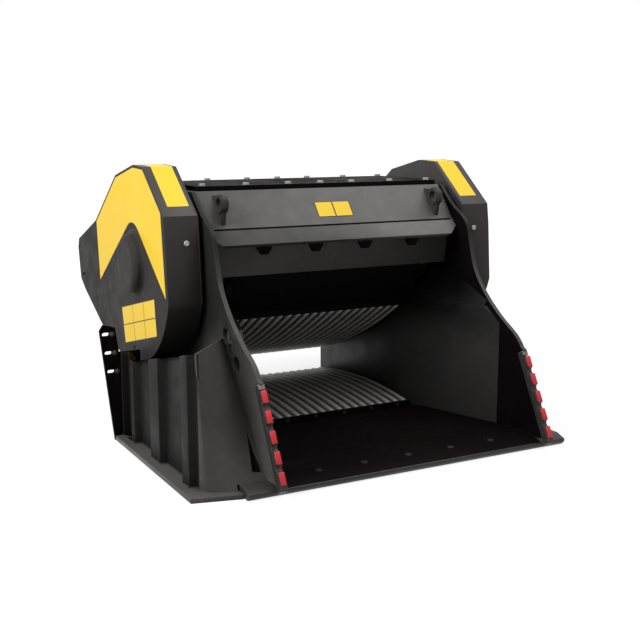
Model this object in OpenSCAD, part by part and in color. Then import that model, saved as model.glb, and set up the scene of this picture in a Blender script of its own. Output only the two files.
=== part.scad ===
// Jaw crusher bucket: an excavator bucket with a jaw crusher in its throat.
// X runs across, the mouth faces -Y, +Z is up. The origin is on the ground, midway between the side
// plates and near the middle of its length.

/* [Bucket] */
// Clear width between the side plates
mouth_w = 1200; // [1180:5:1220]
// Thickness of the side plates
side_t = 20; // [14:1:24]
// Height of the side plates' top edge
side_h = 1052; // [1040:1:1070]
// Foremost place of the side plates' curved edge
side_front_y = -993; // [-1000:1:-980]
// Run of the curved edge from its foot to the top edge
side_reach = 823; // [810:1:835]
// Reach of the base flange past the left side plate
flange_w = 295; // [285:1:315]
// Thickness of the base plate
base_t = 20; // [14:1:24]
// Thickness of the cutting edge
edge_t = 42; // [38:1:50]
// Reach of the cutting edge past the side plates
edge_over = 107; // [90:1:125]

/* [Side cutters] */
// Teeth on each side cutter
cutter_n = 5; // [4:1:5]
// Distance from tooth to tooth
cutter_pitch = 76; // [70:1:78]
// Thickness of the cutter bars
cutter_t = 26; // [22:1:34]
// Depth of the cutter bars
cutter_w = 40; // [34:1:46]
// Radius of the notches between teeth
notch_r = 14; // [10:1:15]
// Thickness of the red tooth plates
cap_t = 5; // [3:1:8]

/* [Jaws] */
// Distance of the cheeks from the side plates
cheek_in = 160; // [150:1:162]
// Gap between the jaws and the cheeks
jaw_gap = 12; // [7:1:20]
// Depth of the valleys between both jaws' ribs
rib_depth = 13; // [8:1:16]
// Distance from rib to rib
rib_pitch = 42.8; // [40:0.2:60]
// Rise of the moving jaw's face over its chord
moving_sag = 36; // [30:1:42]
// Rise of the fixed jaw's face over its chord
fixed_sag = 34; // [28:1:38]
// Clear height of the outlet between the jaws' rear edges
outlet_gap = 98; // [85:1:105]

/* [Drive] */
// Throw of the eccentric journal
throw = 8; // [5:1:9]
// Radius of the shaft's main journals
journal_r = 70; // [60:1:74]
// Radius of the eccentric journal
ecc_r = 88; // [84:1:92]
// Radius of the shaft's ends in the flywheels
seat_r = 55; // [45:1:58]
// Outer radius of both flywheels
flywheel_r = 330; // [310:1:345]
// Width of both flywheels
flywheel_w = 90; // [84:1:96]
// Outer radius of the motor pulley
pulley_r = 110; // [100:1:120]
// Number of drive belts
belt_n = 3; // [1:2:3]
// Width of one belt
belt_w = 17; // [13:1:19]
// Thickness of the belts
belt_t = 14; // [10:1:16]
// Height of the shaft's axis
shaft_z = 745; // [740:1:752]
// Place of the shaft's axis along the bucket
shaft_y = 75; // [68:1:82]

/* [Casings] */
// Width of the casings
casing_w = 145; // [142:1:160]
// Gap between the casings and the side plates
casing_gap = 20; // [16:1:24]
// Thickness of the casings' sheet
casing_t = 6; // [4:1:8]
// Radius of the casings' round front
casing_r = 416; // [408:1:424]
// Radius of the hub domes at their foot
dome_r = 145; // [130:1:155]
// Height of the hub domes
dome_h = 46; // [36:1:56]

/* [Hidden] */
$fn = 64;

// Overrun of every cut past the faces that it opens
over = 5;
// Gap between faces of pieces that turn past each other
turn_gap = 0.3;
// Running clearance of a journal in its bore, on the radius
fit_gap = 0.05;
half_in = mouth_w / 2;
half_out = half_in + side_t;
chamber_w = mouth_w - 2 * cheek_in;
jaw_w = chamber_w - 2 * jaw_gap;
casing_in = half_out + casing_gap;
casing_out = casing_in + casing_w;
base_half_w = half_out + flange_w;
edge_half_w = half_out + edge_over;

// Side plates
edge_shares = [
    [0, 0.036], [0.032, 0.074], [0.073, 0.139], [0.115, 0.203], [0.159, 0.266], [0.199, 0.331],
    [0.25, 0.381], [0.307, 0.426], [0.437, 0.487], [0.566, 0.566], [0.662, 0.656], [0.711, 0.76],
    [0.738, 0.832], [0.782, 0.872], [0.885, 0.92], [1, 1]
];
straight_n = 5;
edge_steps = 4;
top_back_y = 340;
mast = [640, 900];
motor_ear_y = 905;
motor_ear_low = 560;
motor_ear_high = 790;
side_back = [700, 420];
window_r = 31;
window_shares = [[0.597, 0.489], [0.546, 0.451], [0.481, 0.401]];

// Base and cutting edge
base_front_y = -856;
base_nose_y = -902;
base_back_y = 15;
tail_y = 700;
edge_front_y = -925;
edge_nose = [-938, 14];
edge_lip_z = 26;
edge_bevel = 46;
edge_back_y = -700;
edge_bolt_r = 14;
edge_bolt_h = 5;
edge_bolt_n = 5;
edge_bolt_in = 198;
edge_bolt_y = -855;
floor_t = 14;

// Cutter bars
foot = [side_front_y, side_h * edge_shares[0][1]];
cutter_lean = atan2(
    side_reach * edge_shares[straight_n][0],
    side_h * (edge_shares[straight_n][1] - edge_shares[0][1])
);
tooth_l = cutter_pitch - 2 * notch_r;
first_tooth = 46;
stop_l = 26;
stop_slit = 5;
stop_back = 7;
stop_at = first_tooth + (cutter_n - 1) * cutter_pitch + tooth_l / 2;
cutter_l = stop_at + stop_l;
cap_w = 21;

// Side shell and corner panel on the left, side guard on the right
shell_in = 65;
rib_out = 28;
rib_slope = 14;
shell_t = 8;
shell_front = [-777, 521];
shell_dip = [-110, 365];
shell_back = [7, 381];
shell_flange = 34;
rib_places = [[-762, -665], [-451, -317], [-149, -77]];
shoulder = [-475, 503];
panel_foot_shares = [[1, 0], [0.983, 0.22], [0.939, 0.42], [0.783, 0.66], [0.517, 0.87], [0, 1]];
panel_foot_run = 103;
panel_steps = 2;
vent = [[24, 204], [48, 72], [4, 64], [17, 130]];
guard_rib_out = 44;
guard_ribs = [[-530, -430], [-315, -215], [-100, 0]];
guard_top = [[-610, 360], [-440, 440], [7, 306]];

// Plates behind the shell and the guard
wing_t = 16;
wing_tip = [51, 475];
wing_top = [35, 500];
wing_neck = [-15, 486];
wing_root = [-29, 380];
nest_gap = 8;
slot_l = 32;
slot_r = 8;
slot_places = [300, 380, 460];
slot_inset = 24;
wing_bolt_r = 9;
wing_bolt_h = 9;
wing_bolt_inset = 50;
end_corner = 60;

// Top beam, lugs, coupler plate and apron
beam_t = 16;
beam_top_y = -155;
fold = [-275, 902];
tip = [-337, 844];
tab_n = 4;
tab_in = 240;
tab_top = 66;
tab_foot = 34;
tab_h = 46;
tab_t = 12;
lug_in = 90;
lug_t = 20;
lug_base = 150;
lug_up = 96;
lug_r = 42;
eye_h = 44;
eye_r = 24;
coupler_t = 20;
coupler_in = 15;
coupler_front_y = -150;
coupler_back_y = 330;
coupler_bolt_shares = [-1, -0.642, -0.284, 0, 0.284, 0.642, 1];
coupler_bolt_in = [32, 26];
bolt_r = 14;
bolt_h = 10;
coupler_hole_r = 13;
coupler_hole_x = [360, 140];
coupler_hole_y = 160;
apron_t = 12;
apron_upper = [[-250, 880], [-234, 820], [-226, 760], [-218, 700]];
apron_lower = [[-218, 700], [-198, 615], [-170, 545]];
apron_in = 150;
flange_cut = [64, 44];
rear_cover_t = 8;

// Chamber cheeks
cheek_t = 16;
cheek_bend_y = -130;
cheek_front = [-640, 480];
cheek_rise = [-560, 546];
cheek_crown = [[-130, 560], [470, 560], [690, 400]];
cheek_ledge = [[-548, 566], [-205, 700]];
cheek_root = [12, 4];
cheek_bolt_places = [[-80, 520], [60, 520], [240, 500], [420, 440]];
cheek_bolt_r = 13;
cheek_bolt_h = 8;

// Faces of both jaws: front and rear ends of their chords in the side view
moving_front = [-125, 491];
fixed_front = [-199, 66];
fixed_back = [643, 45];
moving_back_y = 685;
moving_back = [moving_back_y, fixed_back[1] + outlet_gap];
liner_t = 34;
fixed_t = 22;
liner_depth = 200;
clamp_t = 16;
clamp_gap = 1;
clamp_low = 6;
clamp_bolt_n = 6;
clamp_bolt_in = 73;
clamp_bolt_r = 9;
clamp_bolt_h = 7;
clamp_bolt_z = 50;

// Swing jaw casting, in the moving jaw's own directions: along its chord and square to it
slab_t = 48;
head_r = 138;
head_inset = 8;
bush_t = 20;
bush_inset = 20;
bush_l = 160;
head_clear = 10;
web_t = 36;
web_sides = [-2, -1, 0, 1, 2];
web_front = [-45, 290];
web_back = [200, 385];
seat_along = 600;
seat_up = 150;
seat_half = 52;
web_before = 80;
web_past = 165;
lug_past = [80, 150];
web_tail = [seat_along + web_past, 166];
seat_web = [seat_along - web_before, seat_along + web_past];
toggle_t = 38;
toggle_in = 78;
toggle_l = 180;
toggle_play = 5;
toggle_gap = 2 * throw + toggle_play;
seat_play = 6;
seat_free = throw + seat_play;
rod_lug = [[seat_along + lug_past[0], 130], [seat_along + lug_past[1], 156]];

// Rear beam, toggle block, tension rods
beam_h = 150;
beam_w = 170;
beam_wall = 18;
block_over = 10;
block_t = 40;
shim_t = 10;
shim_n = 3;
shim_gap = 0.4;
rod_r = 14;
rod_past = 115;
rod_along = seat_along + rod_past;
rod_nut_r = 24;
rod_nut_t = 18;
rod_nut_gap = 3;
bracket_t = 22;
bracket_half = 40;
bracket_past = 155;
bracket_back = seat_along + bracket_past;
bracket_up = 110;
cup_r = 30;
cup_l = 100;

// Bearings and shaft
bearing_r = 112;
bearing_w = 76;
housing_r = 150;
housing_w = 110;
housing_flange_r = 178;
housing_flange_t = 22;
hub_r = 92;
rim_t = 46;
web_w = 26;
pulley_rim_t = 24;
pulley_hub_r = 46;
shaft_hole_r = 84;
cap_disc_r = 72;
cap_disc_t = 12;
belt_pitch = 27;
belt_side = 0.5;
ecc_inset = 6;
fly_gap = 16;

// Motor
motor_at = [807, 668];
motor_r = 78;
motor_l = 180;
motor_flange_r = 98;
motor_flange_t = 22;
motor_shaft_r = 28;
motor_neck_r = 44;
motor_hole_r = 46;
port_r = 13;
port_boss_r = 24;
port_boss_h = 26;
port_half = 45;
block_l = 130;
block_d = 60;
block_h = 80;
block_z = 850;
block_y = 380;
block_port_pitch = 36;
block_port_l = 40;

// Casings
casing_face = [-303, 878];
roof_front = [-290, 967];
roof_back = [-60, 1152];
front_start = 197;
front_end = 276;
crown = [[310, 1105], [67, 1157]];
sole = [[324, 312], [594, 396]];
lobe = [[859, 528], [927, 575], [955, 726], [936, 770]];
waist = [[704, 856], [636, 882]];
arc_steps = 14;
back_hole_r = 95;
boss_r = 16;
boss_places = [[-190, 560], [-120, 900], [420, 940], [460, 500], [600, 780]];
face_bolt_in = 57;
face_bolt_z = 860;
face_bolt_r = 11;
face_bolt_h = 6;
dome_bevel = 24;
rim_bolt_places = [[-215, 800], [-160, 480], [120, 372], [330, 1020], [600, 830], [880, 600]];
rim_bolt_r = 8;
rim_bolt_h = 4;

// Smooth curve through points, with n steps from point to point
function knot(p, i) = p[min(max(i, 0), len(p) - 1)];
function between(p, i, t) = let(a = knot(p, i - 1), b = knot(p, i), c = knot(p, i + 1), d = knot(p, i + 2))
    (2 * b + (c - a) * t + (2 * a - 5 * b + 4 * c - d) * t * t + (3 * b - a - 3 * c + d) * t * t * t) / 2;
function smooth(p, n) = concat(
    [for (i = [0 : len(p) - 2], k = [0 : n - 1]) between(p, i, k / n)],
    [p[len(p) - 1]]
);
function arc(c, r, a, b, n) = [for (k = [0 : n]) let(t = a + (b - a) * k / n) c + r * [cos(t), sin(t)]];
function unit(v) = v / norm(v);
function square_to(a, b) = let(d = unit(b - a)) [-d[1], d[0]];
// Sheet of thickness t on the left of a path
function miter(p, i) = let(
        a = square_to(p[max(i - 1, 0)], p[max(i, 1)]),
        b = square_to(p[min(i, len(p) - 2)], p[min(i + 1, len(p) - 1)])
    ) (a + b) / (1 + a * b);
function sheet(p, t) = concat(p, [for (i = [len(p) - 1 : -1 : 0]) p[i] + t * miter(p, i)]);

// A flat outline in the side view, given a thickness from x0 to x1
module side_slab(x0, x1) {
    translate([x0, 0, 0]) rotate([90, 0, 90]) linear_extrude(x1 - x0) children();
}
// A flat outline in the front view, given a thickness from y0 to y1
module front_slab(y0, y1) {
    translate([0, y1, 0]) rotate([90, 0, 0]) linear_extrude(y1 - y0) children();
}
// A round bar across the bucket
module bar_x(r, x0, x1, at) {
    translate([x0, at[0], at[1]]) rotate([0, 90, 0]) cylinder(h = x1 - x0, r = r);
}
// A round section (radius, place along the axis) turned about an axis across the bucket
module turned_x(points, at) {
    translate([0, at[0], at[1]]) rotate([0, 90, 0]) rotate_extrude($fn = 128) polygon(points);
}
// Each piece that the left side has is the right one's mirror image
module left() {
    mirror([1, 0, 0]) children();
}
module both() {
    children();
    left() children();
}
// Solid between two rows of points, and the same rows moved by one vector for each point
module loft(a, b, move) {
    n = len(a);
    points = concat(a, b, [for (i = [0 : n - 1]) a[i] + move[i]], [for (i = [0 : n - 1]) b[i] + move[i]]);
    steps = [0 : n - 2];
    polyhedron(points, concat(
        [for (i = steps) [i, i + 1, n + i + 1]], [for (i = steps) [i, n + i + 1, n + i]],
        [for (i = steps) [2 * n + i, 3 * n + i + 1, 2 * n + i + 1]],
        [for (i = steps) [2 * n + i, 3 * n + i, 3 * n + i + 1]],
        [for (i = steps) [i, 2 * n + i + 1, i + 1]], [for (i = steps) [i, 2 * n + i, 2 * n + i + 1]],
        [for (i = steps) [n + i, n + i + 1, 3 * n + i + 1]],
        [for (i = steps) [n + i, 3 * n + i + 1, 3 * n + i]],
        [[0, n, 3 * n], [0, 3 * n, 2 * n]],
        [[n - 1, 3 * n - 1, 4 * n - 1], [n - 1, 4 * n - 1, 2 * n - 1]]
    ));
}

// Side plates
shaft_at = [shaft_y, shaft_z];
journal_at = [shaft_y, shaft_z - throw];
edge_line = [for (s = edge_shares) [side_front_y + side_reach * s[0], side_h * s[1]]];
edge_dir = [sin(cutter_lean), cos(cutter_lean)];
edge_in = [cos(cutter_lean), -sin(cutter_lean)];
function on_edge(along, deep) = foot + edge_dir * along + edge_in * deep;
plate_foot_along = (edge_t - on_edge(0, cutter_w)[1]) / edge_dir[1];
upper_edge = smooth([for (p = edge_line) if (p[1] > on_edge(cutter_l, 0)[1]) p], edge_steps);

module side_outline() {
    polygon(concat(
        [on_edge(plate_foot_along, cutter_w), on_edge(cutter_l, cutter_w), on_edge(cutter_l, 0)],
        upper_edge,
        [
            [top_back_y, side_h], mast, [motor_ear_y, motor_ear_high], [motor_ear_y, motor_ear_low],
            side_back, [side_back[0], base_t], [edge_back_y, base_t], [edge_back_y, edge_t]
        ]
    ));
}
module side_plate(motor_hole, windows) {
    color([0.13, 0.13, 0.13]) difference() {
        side_slab(half_in, half_out) side_outline();
        bar_x(shaft_hole_r, half_in - over, half_out + over, shaft_at);
        if (motor_hole) bar_x(motor_hole_r, half_in - over, half_out + over, motor_at);
        if (windows) for (s = window_shares)
            bar_x(
                window_r, half_in - over, half_out + over,
                [side_front_y + side_reach * s[0], side_h * s[1]]
            );
    }
}

// Side cutters and their red tooth plates
module cutter_box(along0, along1, deep0, deep1) {
    polygon([
        on_edge(along0, deep0), on_edge(along1, deep0), on_edge(along1, deep1), on_edge(along0, deep1)
    ]);
}
cutter_x = half_in + side_t / 2;
module side_cutter() {
    color([0.2, 0.2, 0.2]) side_slab(cutter_x - cutter_t / 2, cutter_x + cutter_t / 2) difference() {
        cutter_box(0, cutter_l, 0, cutter_w);
        for (i = [0 : cutter_n - 2])
            translate(on_edge(first_tooth + (i + 0.5) * cutter_pitch, 0)) circle(r = notch_r);
        cutter_box(stop_at, stop_at + stop_slit, -over, cutter_w / 2);
        cutter_box(stop_at, cutter_l + over, -over, stop_back);
    }
}
module tooth_caps() {
    color([0.75, 0.1, 0.08]) both() for (i = [0 : cutter_n - 1])
        side_slab(cutter_x - cap_w / 2, cutter_x + cap_w / 2)
            cutter_box(
                first_tooth + i * cutter_pitch - tooth_l / 2, first_tooth + i * cutter_pitch + tooth_l / 2,
                -cap_t, 0
            );
}

// Base, cutting edge, floor
module base_plate() {
    color([0.16, 0.16, 0.16]) difference() {
        linear_extrude(base_t) polygon([
            [edge_half_w, base_back_y], [edge_half_w, base_nose_y], [-edge_half_w, base_nose_y],
            [-base_half_w, base_front_y], [-base_half_w, base_back_y], [-half_out, base_back_y],
            [-half_out, tail_y], [half_out, tail_y], [half_out, base_back_y]
        ]);
        translate([-edge_half_w, edge_back_y - mouth_w, -over])
            cube([2 * edge_half_w, mouth_w, base_t + 2 * over]);
    }
}
module cutting_edge() {
    color([0.17, 0.17, 0.17]) side_slab(-edge_half_w, edge_half_w) polygon([
        [edge_back_y, 0], [edge_front_y, 0], edge_nose, [edge_nose[0], edge_lip_z],
        [edge_nose[0] + edge_bevel, edge_t], [edge_back_y, edge_t]
    ]);
}
module edge_bolts() {
    color([0.3, 0.3, 0.3]) for (i = [0 : edge_bolt_n - 1])
        translate([(i / (edge_bolt_n - 1) - 0.5) * (mouth_w - 2 * edge_bolt_in), edge_bolt_y, edge_t])
            cylinder(h = edge_bolt_h, r = edge_bolt_r);
}
function cheek_x(y) = chamber_w / 2 + (half_in - chamber_w / 2)
    * (cheek_bend_y - y) / (cheek_bend_y - cheek_front[0]);
floor_back_y = fixed_front[0] - clamp_gap - clamp_t;
module floor_plate() {
    color([0.12, 0.12, 0.12]) translate([0, 0, base_t]) linear_extrude(floor_t) polygon([
        [-half_in, edge_back_y], [half_in, edge_back_y], [half_in, cheek_front[0]],
        [cheek_x(floor_back_y), floor_back_y], [-cheek_x(floor_back_y), floor_back_y],
        [-half_in, cheek_front[0]]
    ]);
}

// Left side shell: a ribbed wall on the base flange, with a corner panel to the side plate
function ribbed(x, out, ribs) = [for (r = ribs, k = [0 : 3]) [
    x + ((k == 0 || k == 3) ? 0 : out),
    r[k < 2 ? 0 : 1] + (k == 1 ? rib_slope : (k == 2 ? -rib_slope : 0))
]];
shell_x = base_half_w - shell_in;
module side_shell() {
    color([0.15, 0.15, 0.15]) left() intersection() {
        translate([0, 0, base_t]) linear_extrude(side_h) polygon(sheet(
            concat(
                [[shell_x, shell_front[0]]], ribbed(shell_x, rib_out, rib_places),
                [[shell_x, shell_back[0] - shell_t], [shell_x + shell_flange, shell_back[0] - shell_t]]
            ),
            shell_t
        ));
        side_slab(0, base_half_w) polygon([
            [shell_front[0], 0], shell_front, shell_dip, shell_back,
            [base_back_y, shell_back[1]], [base_back_y, 0]
        ]);
    }
}
panel_shares = smooth(panel_foot_shares, panel_steps);
panel_n = len(panel_shares);
panel_foot = [for (s = panel_shares)
    [half_out + (shell_x - half_out) * s[0], shell_front[0] - panel_foot_run * s[1], base_t]];
panel_head = [for (s = panel_shares)
    [shell_x, shell_front[0], shell_front[1]] * s[0] + [half_out, shoulder[0], shoulder[1]] * (1 - s[0])];
module corner_panel() {
    color([0.15, 0.15, 0.15]) left() difference() {
        loft(panel_foot, panel_head, [for (i = [0 : panel_n - 1])
            let(a = 90 * i / (panel_n - 1)) shell_t * [-cos(a), sin(a), 0]]);
        translate([0, edge_back_y - mouth_w, -over]) cube([edge_half_w, mouth_w, edge_t + over]);
        front_slab(-mouth_w, 0) polygon([for (p = vent) [half_out + p[0], p[1]]]);
    }
}

// Right side guard: a ribbed sheet that lies against the side plate
guard_x = half_out + shell_t;
module side_guard() {
    color([0.15, 0.15, 0.15]) intersection() {
        translate([0, 0, base_t]) linear_extrude(side_h) polygon(sheet(
            concat(
                [[guard_x, guard_top[0][0]]], ribbed(guard_x, guard_rib_out, guard_ribs),
                [[guard_x, base_back_y]]
            ),
            shell_t
        ));
        side_slab(half_out, edge_half_w) polygon(concat(
            [[guard_top[0][0], 0]], guard_top, [[base_back_y, guard_top[2][1]], [base_back_y, 0]]
        ));
    }
}

// Wing plate behind the left shell, end plate behind the right guard
wing_slope = wing_tip[0] / wing_tip[1];
nest_x = casing_out + nest_gap;
nest_z = shaft_z - casing_r - nest_gap;
function slot_x(z) = base_half_w + wing_slope * z - slot_inset;
module wing_plate() {
    color([0.12, 0.12, 0.12]) left() difference() {
        front_slab(base_back_y, base_back_y + wing_t) polygon([
            [half_out, 0], [base_half_w, 0], [base_half_w + wing_tip[0], wing_tip[1]],
            [base_half_w + wing_top[0], wing_top[1]], [base_half_w + wing_neck[0], wing_neck[1]],
            [base_half_w + wing_root[0], wing_root[1]], [nest_x, wing_root[1]], [nest_x, nest_z],
            [half_out, nest_z]
        ]);
        for (z = slot_places) front_slab(base_back_y - over, base_back_y + wing_t + over) {
            translate([slot_x(z) - slot_l / 2 + slot_r, z - slot_r])
                square([slot_l - 2 * slot_r, 2 * slot_r]);
            for (s = [-1, 1]) translate([slot_x(z) + s * (slot_l / 2 - slot_r), z]) circle(r = slot_r);
        }
    }
}
module wing_bolts() {
    color([0.5, 0.5, 0.5]) left() for (z = slot_places)
        translate([base_half_w + wing_slope * z - wing_bolt_inset, base_back_y, z])
            rotate([90, 0, 0]) cylinder(h = wing_bolt_h, r = wing_bolt_r, $fn = 6);
}
module end_plate() {
    color([0.12, 0.12, 0.12]) front_slab(base_back_y, base_back_y + wing_t) polygon([
        [half_out, 0], [edge_half_w, 0], [edge_half_w, nest_z - end_corner],
        [edge_half_w - end_corner, nest_z], [half_out, nest_z]
    ]);
}

// Top beam with its tabs, lugs and apron
beam_path = [tip, fold, [beam_top_y, side_h], [coupler_back_y, side_h]];
module top_beam() {
    color([0.15, 0.15, 0.15]) difference() {
        side_slab(-half_in, half_in) polygon(sheet(beam_path, -beam_t));
        coupler_holes();
        both() front_slab(tip[0] - over, fold[0]) polygon([
            [half_in - flange_cut[0], flange_in[1]], [half_in - flange_cut[0], flange_in[1] - over],
            [half_in + over, flange_in[1] - over], [half_in + over, flange_in[1] + flange_cut[1]],
            [half_in, flange_in[1] + flange_cut[1]]
        ]);
    }
}
flange_in = tip - beam_t * square_to(tip, fold);
flange_rise = (fold[1] - tip[1]) / (fold[0] - tip[0]);
tab_y = flange_in[0] + tab_t;
function under_flange(y) = flange_in[1] + flange_rise * (y - flange_in[0]);
module beam_tabs() {
    foot_z = under_flange(tab_y) - tab_h;
    color([0.12, 0.12, 0.12]) for (i = [0 : tab_n - 1]) intersection() {
        x = (i / (tab_n - 1) - 0.5) * (mouth_w - 2 * tab_in);
        side_slab(x - tab_top / 2, x + tab_top / 2) polygon([
            [tab_y, under_flange(tab_y)], [tab_y + tab_t, under_flange(tab_y + tab_t)],
            [tab_y + tab_t, foot_z], [tab_y, foot_z]
        ]);
        front_slab(tab_y - over, tab_y + tab_t + over) polygon([
            [x - tab_top / 2, foot_z + tab_h + tab_t], [x - tab_top / 2, foot_z + tab_h / 2],
            [x - tab_foot / 2, foot_z], [x + tab_foot / 2, foot_z],
            [x + tab_top / 2, foot_z + tab_h / 2], [x + tab_top / 2, foot_z + tab_h + tab_t]
        ]);
    }
}
lug_x = half_in - lug_in;
slope_dir = unit([beam_top_y, side_h] - fold);
slope_out = square_to(fold, [beam_top_y, side_h]);
lug_mid = fold + slope_dir * lug_up;
eye_at = lug_mid + slope_out * eye_h;
module lift_lugs() {
    color([0.2, 0.2, 0.2]) both() difference() {
        side_slab(lug_x, lug_x + lug_t) union() {
            polygon([
                lug_mid - slope_dir * lug_base / 2, eye_at - slope_dir * lug_r,
                eye_at + slope_dir * lug_r, lug_mid + slope_dir * lug_base / 2
            ]);
            translate(eye_at) circle(r = lug_r);
        }
        bar_x(eye_r, lug_x - over, lug_x + lug_t + over, eye_at);
    }
}
coupler_mid_y = (coupler_front_y + coupler_back_y) / 2;
coupler_half = half_in - coupler_in;
module coupler_holes() {
    both() for (x = coupler_hole_x, s = [-1, 1])
        translate([x, coupler_mid_y + s * coupler_hole_y, side_h - beam_t - over])
            cylinder(h = beam_t + coupler_t + 2 * over, r = coupler_hole_r);
}
module coupler_plate() {
    color([0.1, 0.1, 0.1]) difference() {
        translate([-coupler_half, coupler_front_y, side_h])
            cube([2 * coupler_half, coupler_back_y - coupler_front_y, coupler_t]);
        coupler_holes();
    }
}
module coupler_bolts() {
    color([0.3, 0.3, 0.3]) for (s = coupler_bolt_shares)
        for (y = [coupler_front_y + coupler_bolt_in[1], coupler_back_y - coupler_bolt_in[1]])
            translate([s * (coupler_half - coupler_bolt_in[0]), y, side_h + coupler_t])
                cylinder(h = bolt_h, r = bolt_r, $fn = 6);
}
module apron_plate() {
    color([0.11, 0.11, 0.11]) {
        side_slab(-half_in, half_in) polygon(sheet(apron_upper, apron_t));
        side_slab(apron_in - half_in, half_in - apron_in) polygon(sheet(apron_lower, apron_t));
    }
}
module rear_cover() {
    color([0.12, 0.12, 0.12]) side_slab(-half_in, half_in)
        polygon(sheet([[top_back_y, side_h], mast], -rear_cover_t));
}

// Cheeks of the crushing chamber
cheek_path = [
    [half_in, cheek_front[0]], [chamber_w / 2, cheek_bend_y], [chamber_w / 2, cheek_crown[2][0]]
];
cheek_pitch = (cheek_crown[0][1] - cheek_rise[1]) / (cheek_crown[0][0] - cheek_rise[0]);
function ledge_root(y) = [
    cheek_x(y) + cheek_t / 2, y, cheek_rise[1] + cheek_pitch * (y - cheek_rise[0]) - cheek_root[1]
];
module cheek_plate() {
    color([0.12, 0.12, 0.12]) {
        intersection() {
            difference() {
                linear_extrude(side_h) polygon(sheet(cheek_path, -cheek_t));
                translate([half_in, edge_front_y, -over]) cube([half_in, mouth_w, side_h + 2 * over]);
            }
            side_slab(0, half_in) polygon(concat(
                [[cheek_front[0], base_t + floor_t], cheek_front, cheek_rise], cheek_crown,
                [[cheek_crown[2][0], base_t], [floor_back_y, base_t], [floor_back_y, base_t + floor_t]]
            ));
        }
        loft(
            [ledge_root(cheek_ledge[0][0]), ledge_root(cheek_bend_y - cheek_root[0])],
            [for (p = cheek_ledge) [half_in, p[0], p[1]]],
            [for (p = cheek_ledge) [0, 0, -cheek_t]]
        );
    }
}
module cheek_bolts() {
    color([0.4, 0.4, 0.4]) both() for (p = cheek_bolt_places)
        bar_x(cheek_bolt_r, chamber_w / 2 + cheek_t, chamber_w / 2 + cheek_t + cheek_bolt_h, p);
}

// A ribbed jaw plate: its chord lies along Y, its face bulges down, its back is at height back
module ribbed_plate(chord, sag, back) {
    radius = chord * chord / (8 * sag) + sag / 2;
    spread = 2 * asin(chord / (2 * radius)) + 1;
    ribs = round(jaw_w / rib_pitch);
    step = jaw_w / ribs;
    intersection() {
        translate([0, chord / 2, radius - sag]) rotate([0, 90, 0]) rotate([0, 0, -spread / 2])
            rotate_extrude(angle = spread, $fn = 720) polygon(concat(
                [[radius - liner_depth, -jaw_w / 2], [radius - rib_depth, -jaw_w / 2]],
                [for (i = [0 : ribs - 1], k = [0.5, 1])
                    [radius - (k == 1 ? rib_depth : 0), -jaw_w / 2 + (i + k) * step]],
                [[radius - liner_depth, jaw_w / 2]]
            ));
        translate([-jaw_w / 2, 0, -2 * sag]) cube([jaw_w, chord, 2 * sag + back]);
    }
}
moving_chord = norm(moving_back - moving_front);
moving_lean = atan2(moving_back[1] - moving_front[1], moving_back[0] - moving_front[0]);
fixed_chord = norm(fixed_back - fixed_front);
fixed_lean = atan2(fixed_back[1] - fixed_front[1], fixed_back[0] - fixed_front[0]);
jaw_u = [cos(moving_lean), sin(moving_lean)];
jaw_n = [-sin(moving_lean), cos(moving_lean)];
function in_jaw(p) = [(p - moving_front) * jaw_u, (p - moving_front) * jaw_n];
// Children drawn in the moving jaw's directions
module jaw_frame() {
    translate([0, moving_front[0], moving_front[1]]) rotate([moving_lean, 0, 0]) children();
}
module jaw_slab(x0, x1) {
    jaw_frame() side_slab(x0, x1) children();
}
module moving_jaw() {
    color([0.62, 0.62, 0.62]) jaw_frame() ribbed_plate(moving_chord, moving_sag, liner_t);
}
module fixed_jaw() {
    color([0.62, 0.62, 0.62]) translate([0, fixed_front[0], fixed_front[1]]) rotate([fixed_lean, 0, 0])
        mirror([0, 0, 1]) ribbed_plate(fixed_chord, fixed_sag, fixed_t);
}
bed_front = fixed_front + fixed_t * [sin(fixed_lean), -cos(fixed_lean)];
bed_back = fixed_back + fixed_t * [sin(fixed_lean), -cos(fixed_lean)];
module jaw_bed() {
    color([0.15, 0.15, 0.15]) side_slab(-jaw_w / 2, jaw_w / 2)
        polygon([[bed_front[0], base_t], bed_front, bed_back, [bed_back[0], base_t]]);
}
module fixed_jaw_clamp() {
    color([0.14, 0.14, 0.14]) translate([-jaw_w / 2, floor_back_y, base_t])
        cube([jaw_w, clamp_t, fixed_front[1] - clamp_low - base_t]);
}
function clamp_x(i) = (i / (clamp_bolt_n - 1) - 0.5) * (jaw_w - 2 * clamp_bolt_in);
module clamp_bolts() {
    color([0.4, 0.4, 0.4]) for (i = [0 : clamp_bolt_n - 1])
        translate([clamp_x(i), floor_back_y, clamp_bolt_z]) rotate([90, 0, 0])
            cylinder(h = clamp_bolt_h, r = clamp_bolt_r, $fn = 6);
}
slab_top = liner_t + slab_t;
module moving_jaw_clamp() {
    color([0.14, 0.14, 0.14]) jaw_slab(-jaw_w / 2, jaw_w / 2)
        translate([-clamp_gap - clamp_t, clamp_low]) square([clamp_t + clamp_gap, slab_top - clamp_low]);
}

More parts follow.
